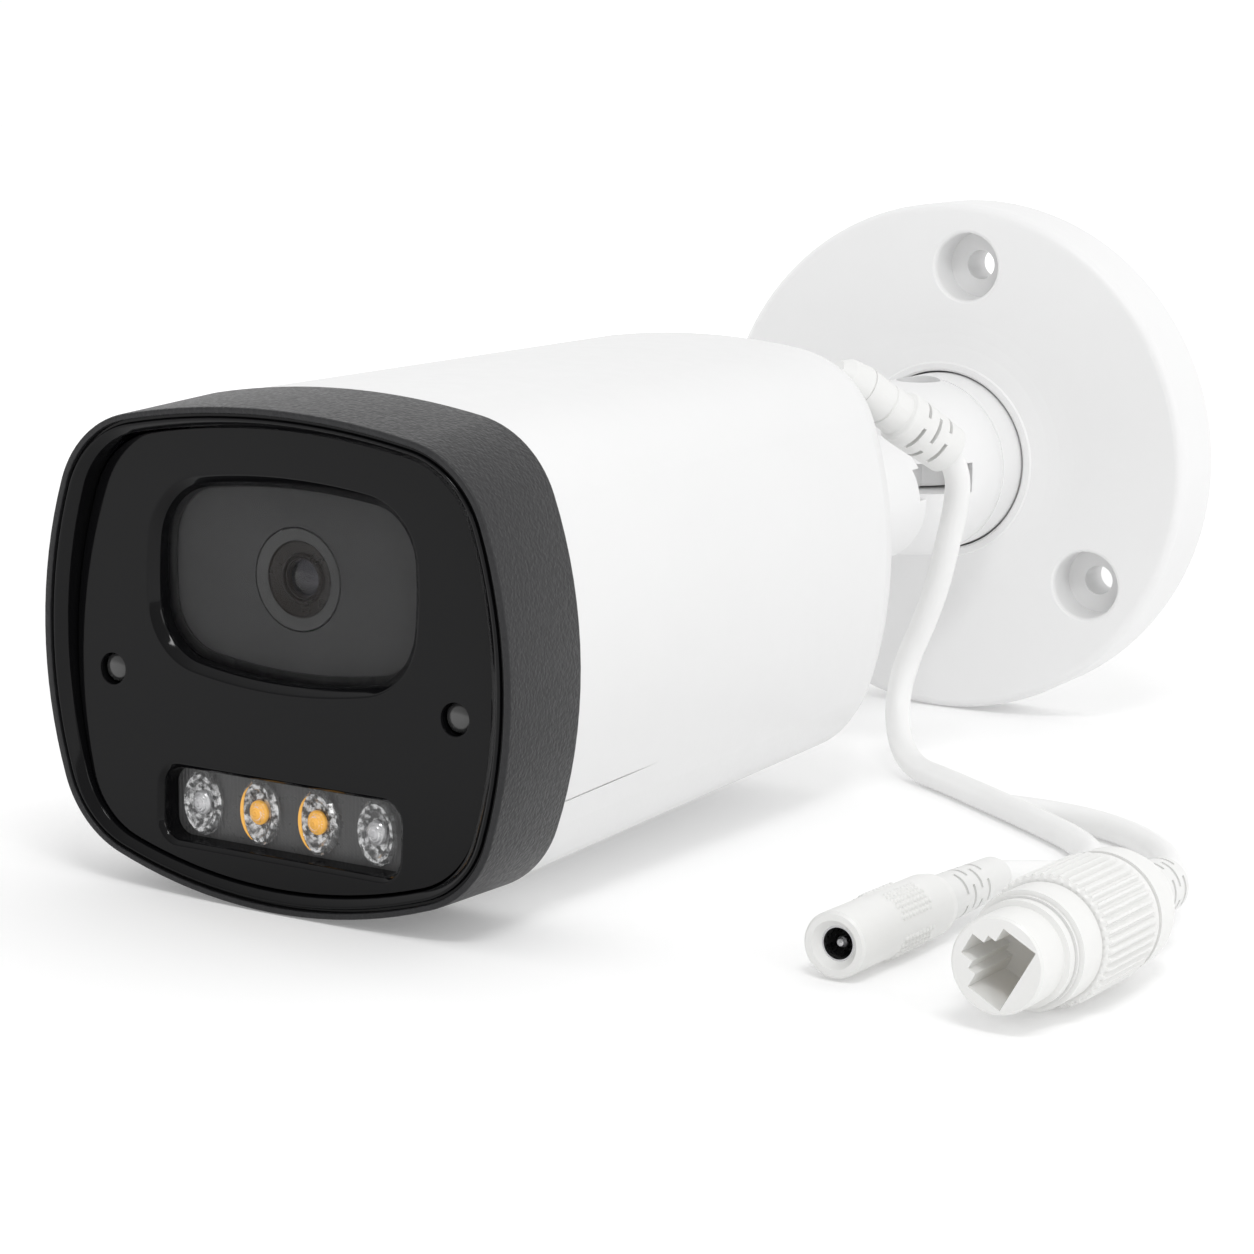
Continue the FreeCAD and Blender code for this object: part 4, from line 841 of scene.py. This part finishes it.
def make_turret_wiper():
    """Soft white ring that fills the running gap round the turret."""
    skirt = max(math.hypot(p.x, p.z) for p in straight_points("turret") if -13.0 < p.y < -2.0)
    face = min(point.y for point in straight_points("wall_plate"))
    profile = [(face + 0.5, skirt - 0.02), (face + 0.3, skirt + 0.2), (face + 0.5, skirt + 0.43),
               (face + 2.6, skirt + 0.43), (face + 2.6, skirt - 0.02)]
    mesh = bmesh.new()
    add_skin(mesh, [oval_loop(r, r, 0, y, 0, 144) for y, r in softened(profile, 0.1)])
    made("turret_wiper", mesh, "friction_washer", body="turret")


# ---- connectors ---------------------------------------------------------------------------
def connector_axis(node):
    """Middle in x and z, and both ends in y, of a node in millimetres."""
    low, high = (Vector(corner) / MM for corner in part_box(node))
    return (low.x + high.x) / 2, (low.z + high.z) / 2, low.y, high.y


def make_jack_grips():
    """Four patches of staggered diamond pimples round the power jack."""
    x, z, front, _ = connector_axis("dc_jack_body")
    radius = (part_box("dc_jack_body")[1][0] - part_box("dc_jack_body")[0][0]) / MM / 2
    mesh = bmesh.new()
    for patch in range(4):
        for row in range(6):
            for column in range(9):
                around = math.radians(52 + 90 * patch) + (row - 2.5) * 1.05 / radius
                along = front + 15.5 + column * 1.3 + 0.65 * (row % 2)
                add_pimple(mesh, x, z, radius, around, along)
    return made("dc_jack_grips", mesh, "connector_white", place=LYING_MM, sharp=50)


def add_pimple(mesh, x, z, radius, around, along):
    """Low diamond pyramid with a rounded top, standing on the barrel."""
    out = Vector((math.cos(around), 0, math.sin(around)))
    side = Vector((-math.sin(around), 0, math.cos(around)))
    forward = Vector((0, 1, 0))
    middle = Vector((x, along, z)) + out * (radius - 0.05)
    rings = []
    for size, height in ((0.56, 0.0), (0.44, 0.26), (0.18, 0.42)):
        corners = [middle + out * height + (forward * math.cos(a) + side * math.sin(a)) * size
                   for a in (math.pi * step / 4 for step in range(8))]
        rings.append(corners)
    add_skin(mesh, rings, False, False, True)


def make_collar():
    """Coupling collar with raised ribs."""
    x, z, front, back = connector_axis("rj45_collar")
    ribs, root, outer = 44, 10.65, 11.35
    count = ribs * 8
    sections = [(front, 9.6, 0.0), (front, 10.4, 0.0), (front + 0.35, 10.75, 0.15),
                (front + 0.5, 10.6, 0.9), (front + 2.2, 10.65, 1.0), (back - 3.4, 10.65, 1.0),
                (back - 2.2, 10.65, 0.6), (back - 1.8, 10.7, 0.0), (back - 0.4, 10.7, 0.0),
                (back, 10.3, 0.0), (back, 9.6, 0.0)]
    mesh = bmesh.new()
    loops = []
    for y, base, share in sections:
        loop = []
        for index in range(count):
            angle = 2 * math.pi * index / count
            wave = max(0.0, min(1.0, 0.5 + 1.4 * math.cos(ribs * angle)))
            radius = base + share * wave * (outer - root)
            loop.append(Vector((x + radius * math.cos(angle), y, z + radius * math.sin(angle))))
        loops.append(loop)
    add_skin(mesh, loops, True)
    return made("rj45_ribbed_collar", mesh, "connector_white", ["rj45_collar"], LYING_MM, 40)


# ---- the scene ----------------------------------------------------------------------------
make_camera()
make_studio()
dress_cad_nodes()
make_cables(make_jack_grips(), make_collar())
make_bezel()
make_panel()
make_lens()
make_light_tray()
make_lights()
make_sensor_plugs()
make_turret_wiper()
make_rear_cover()
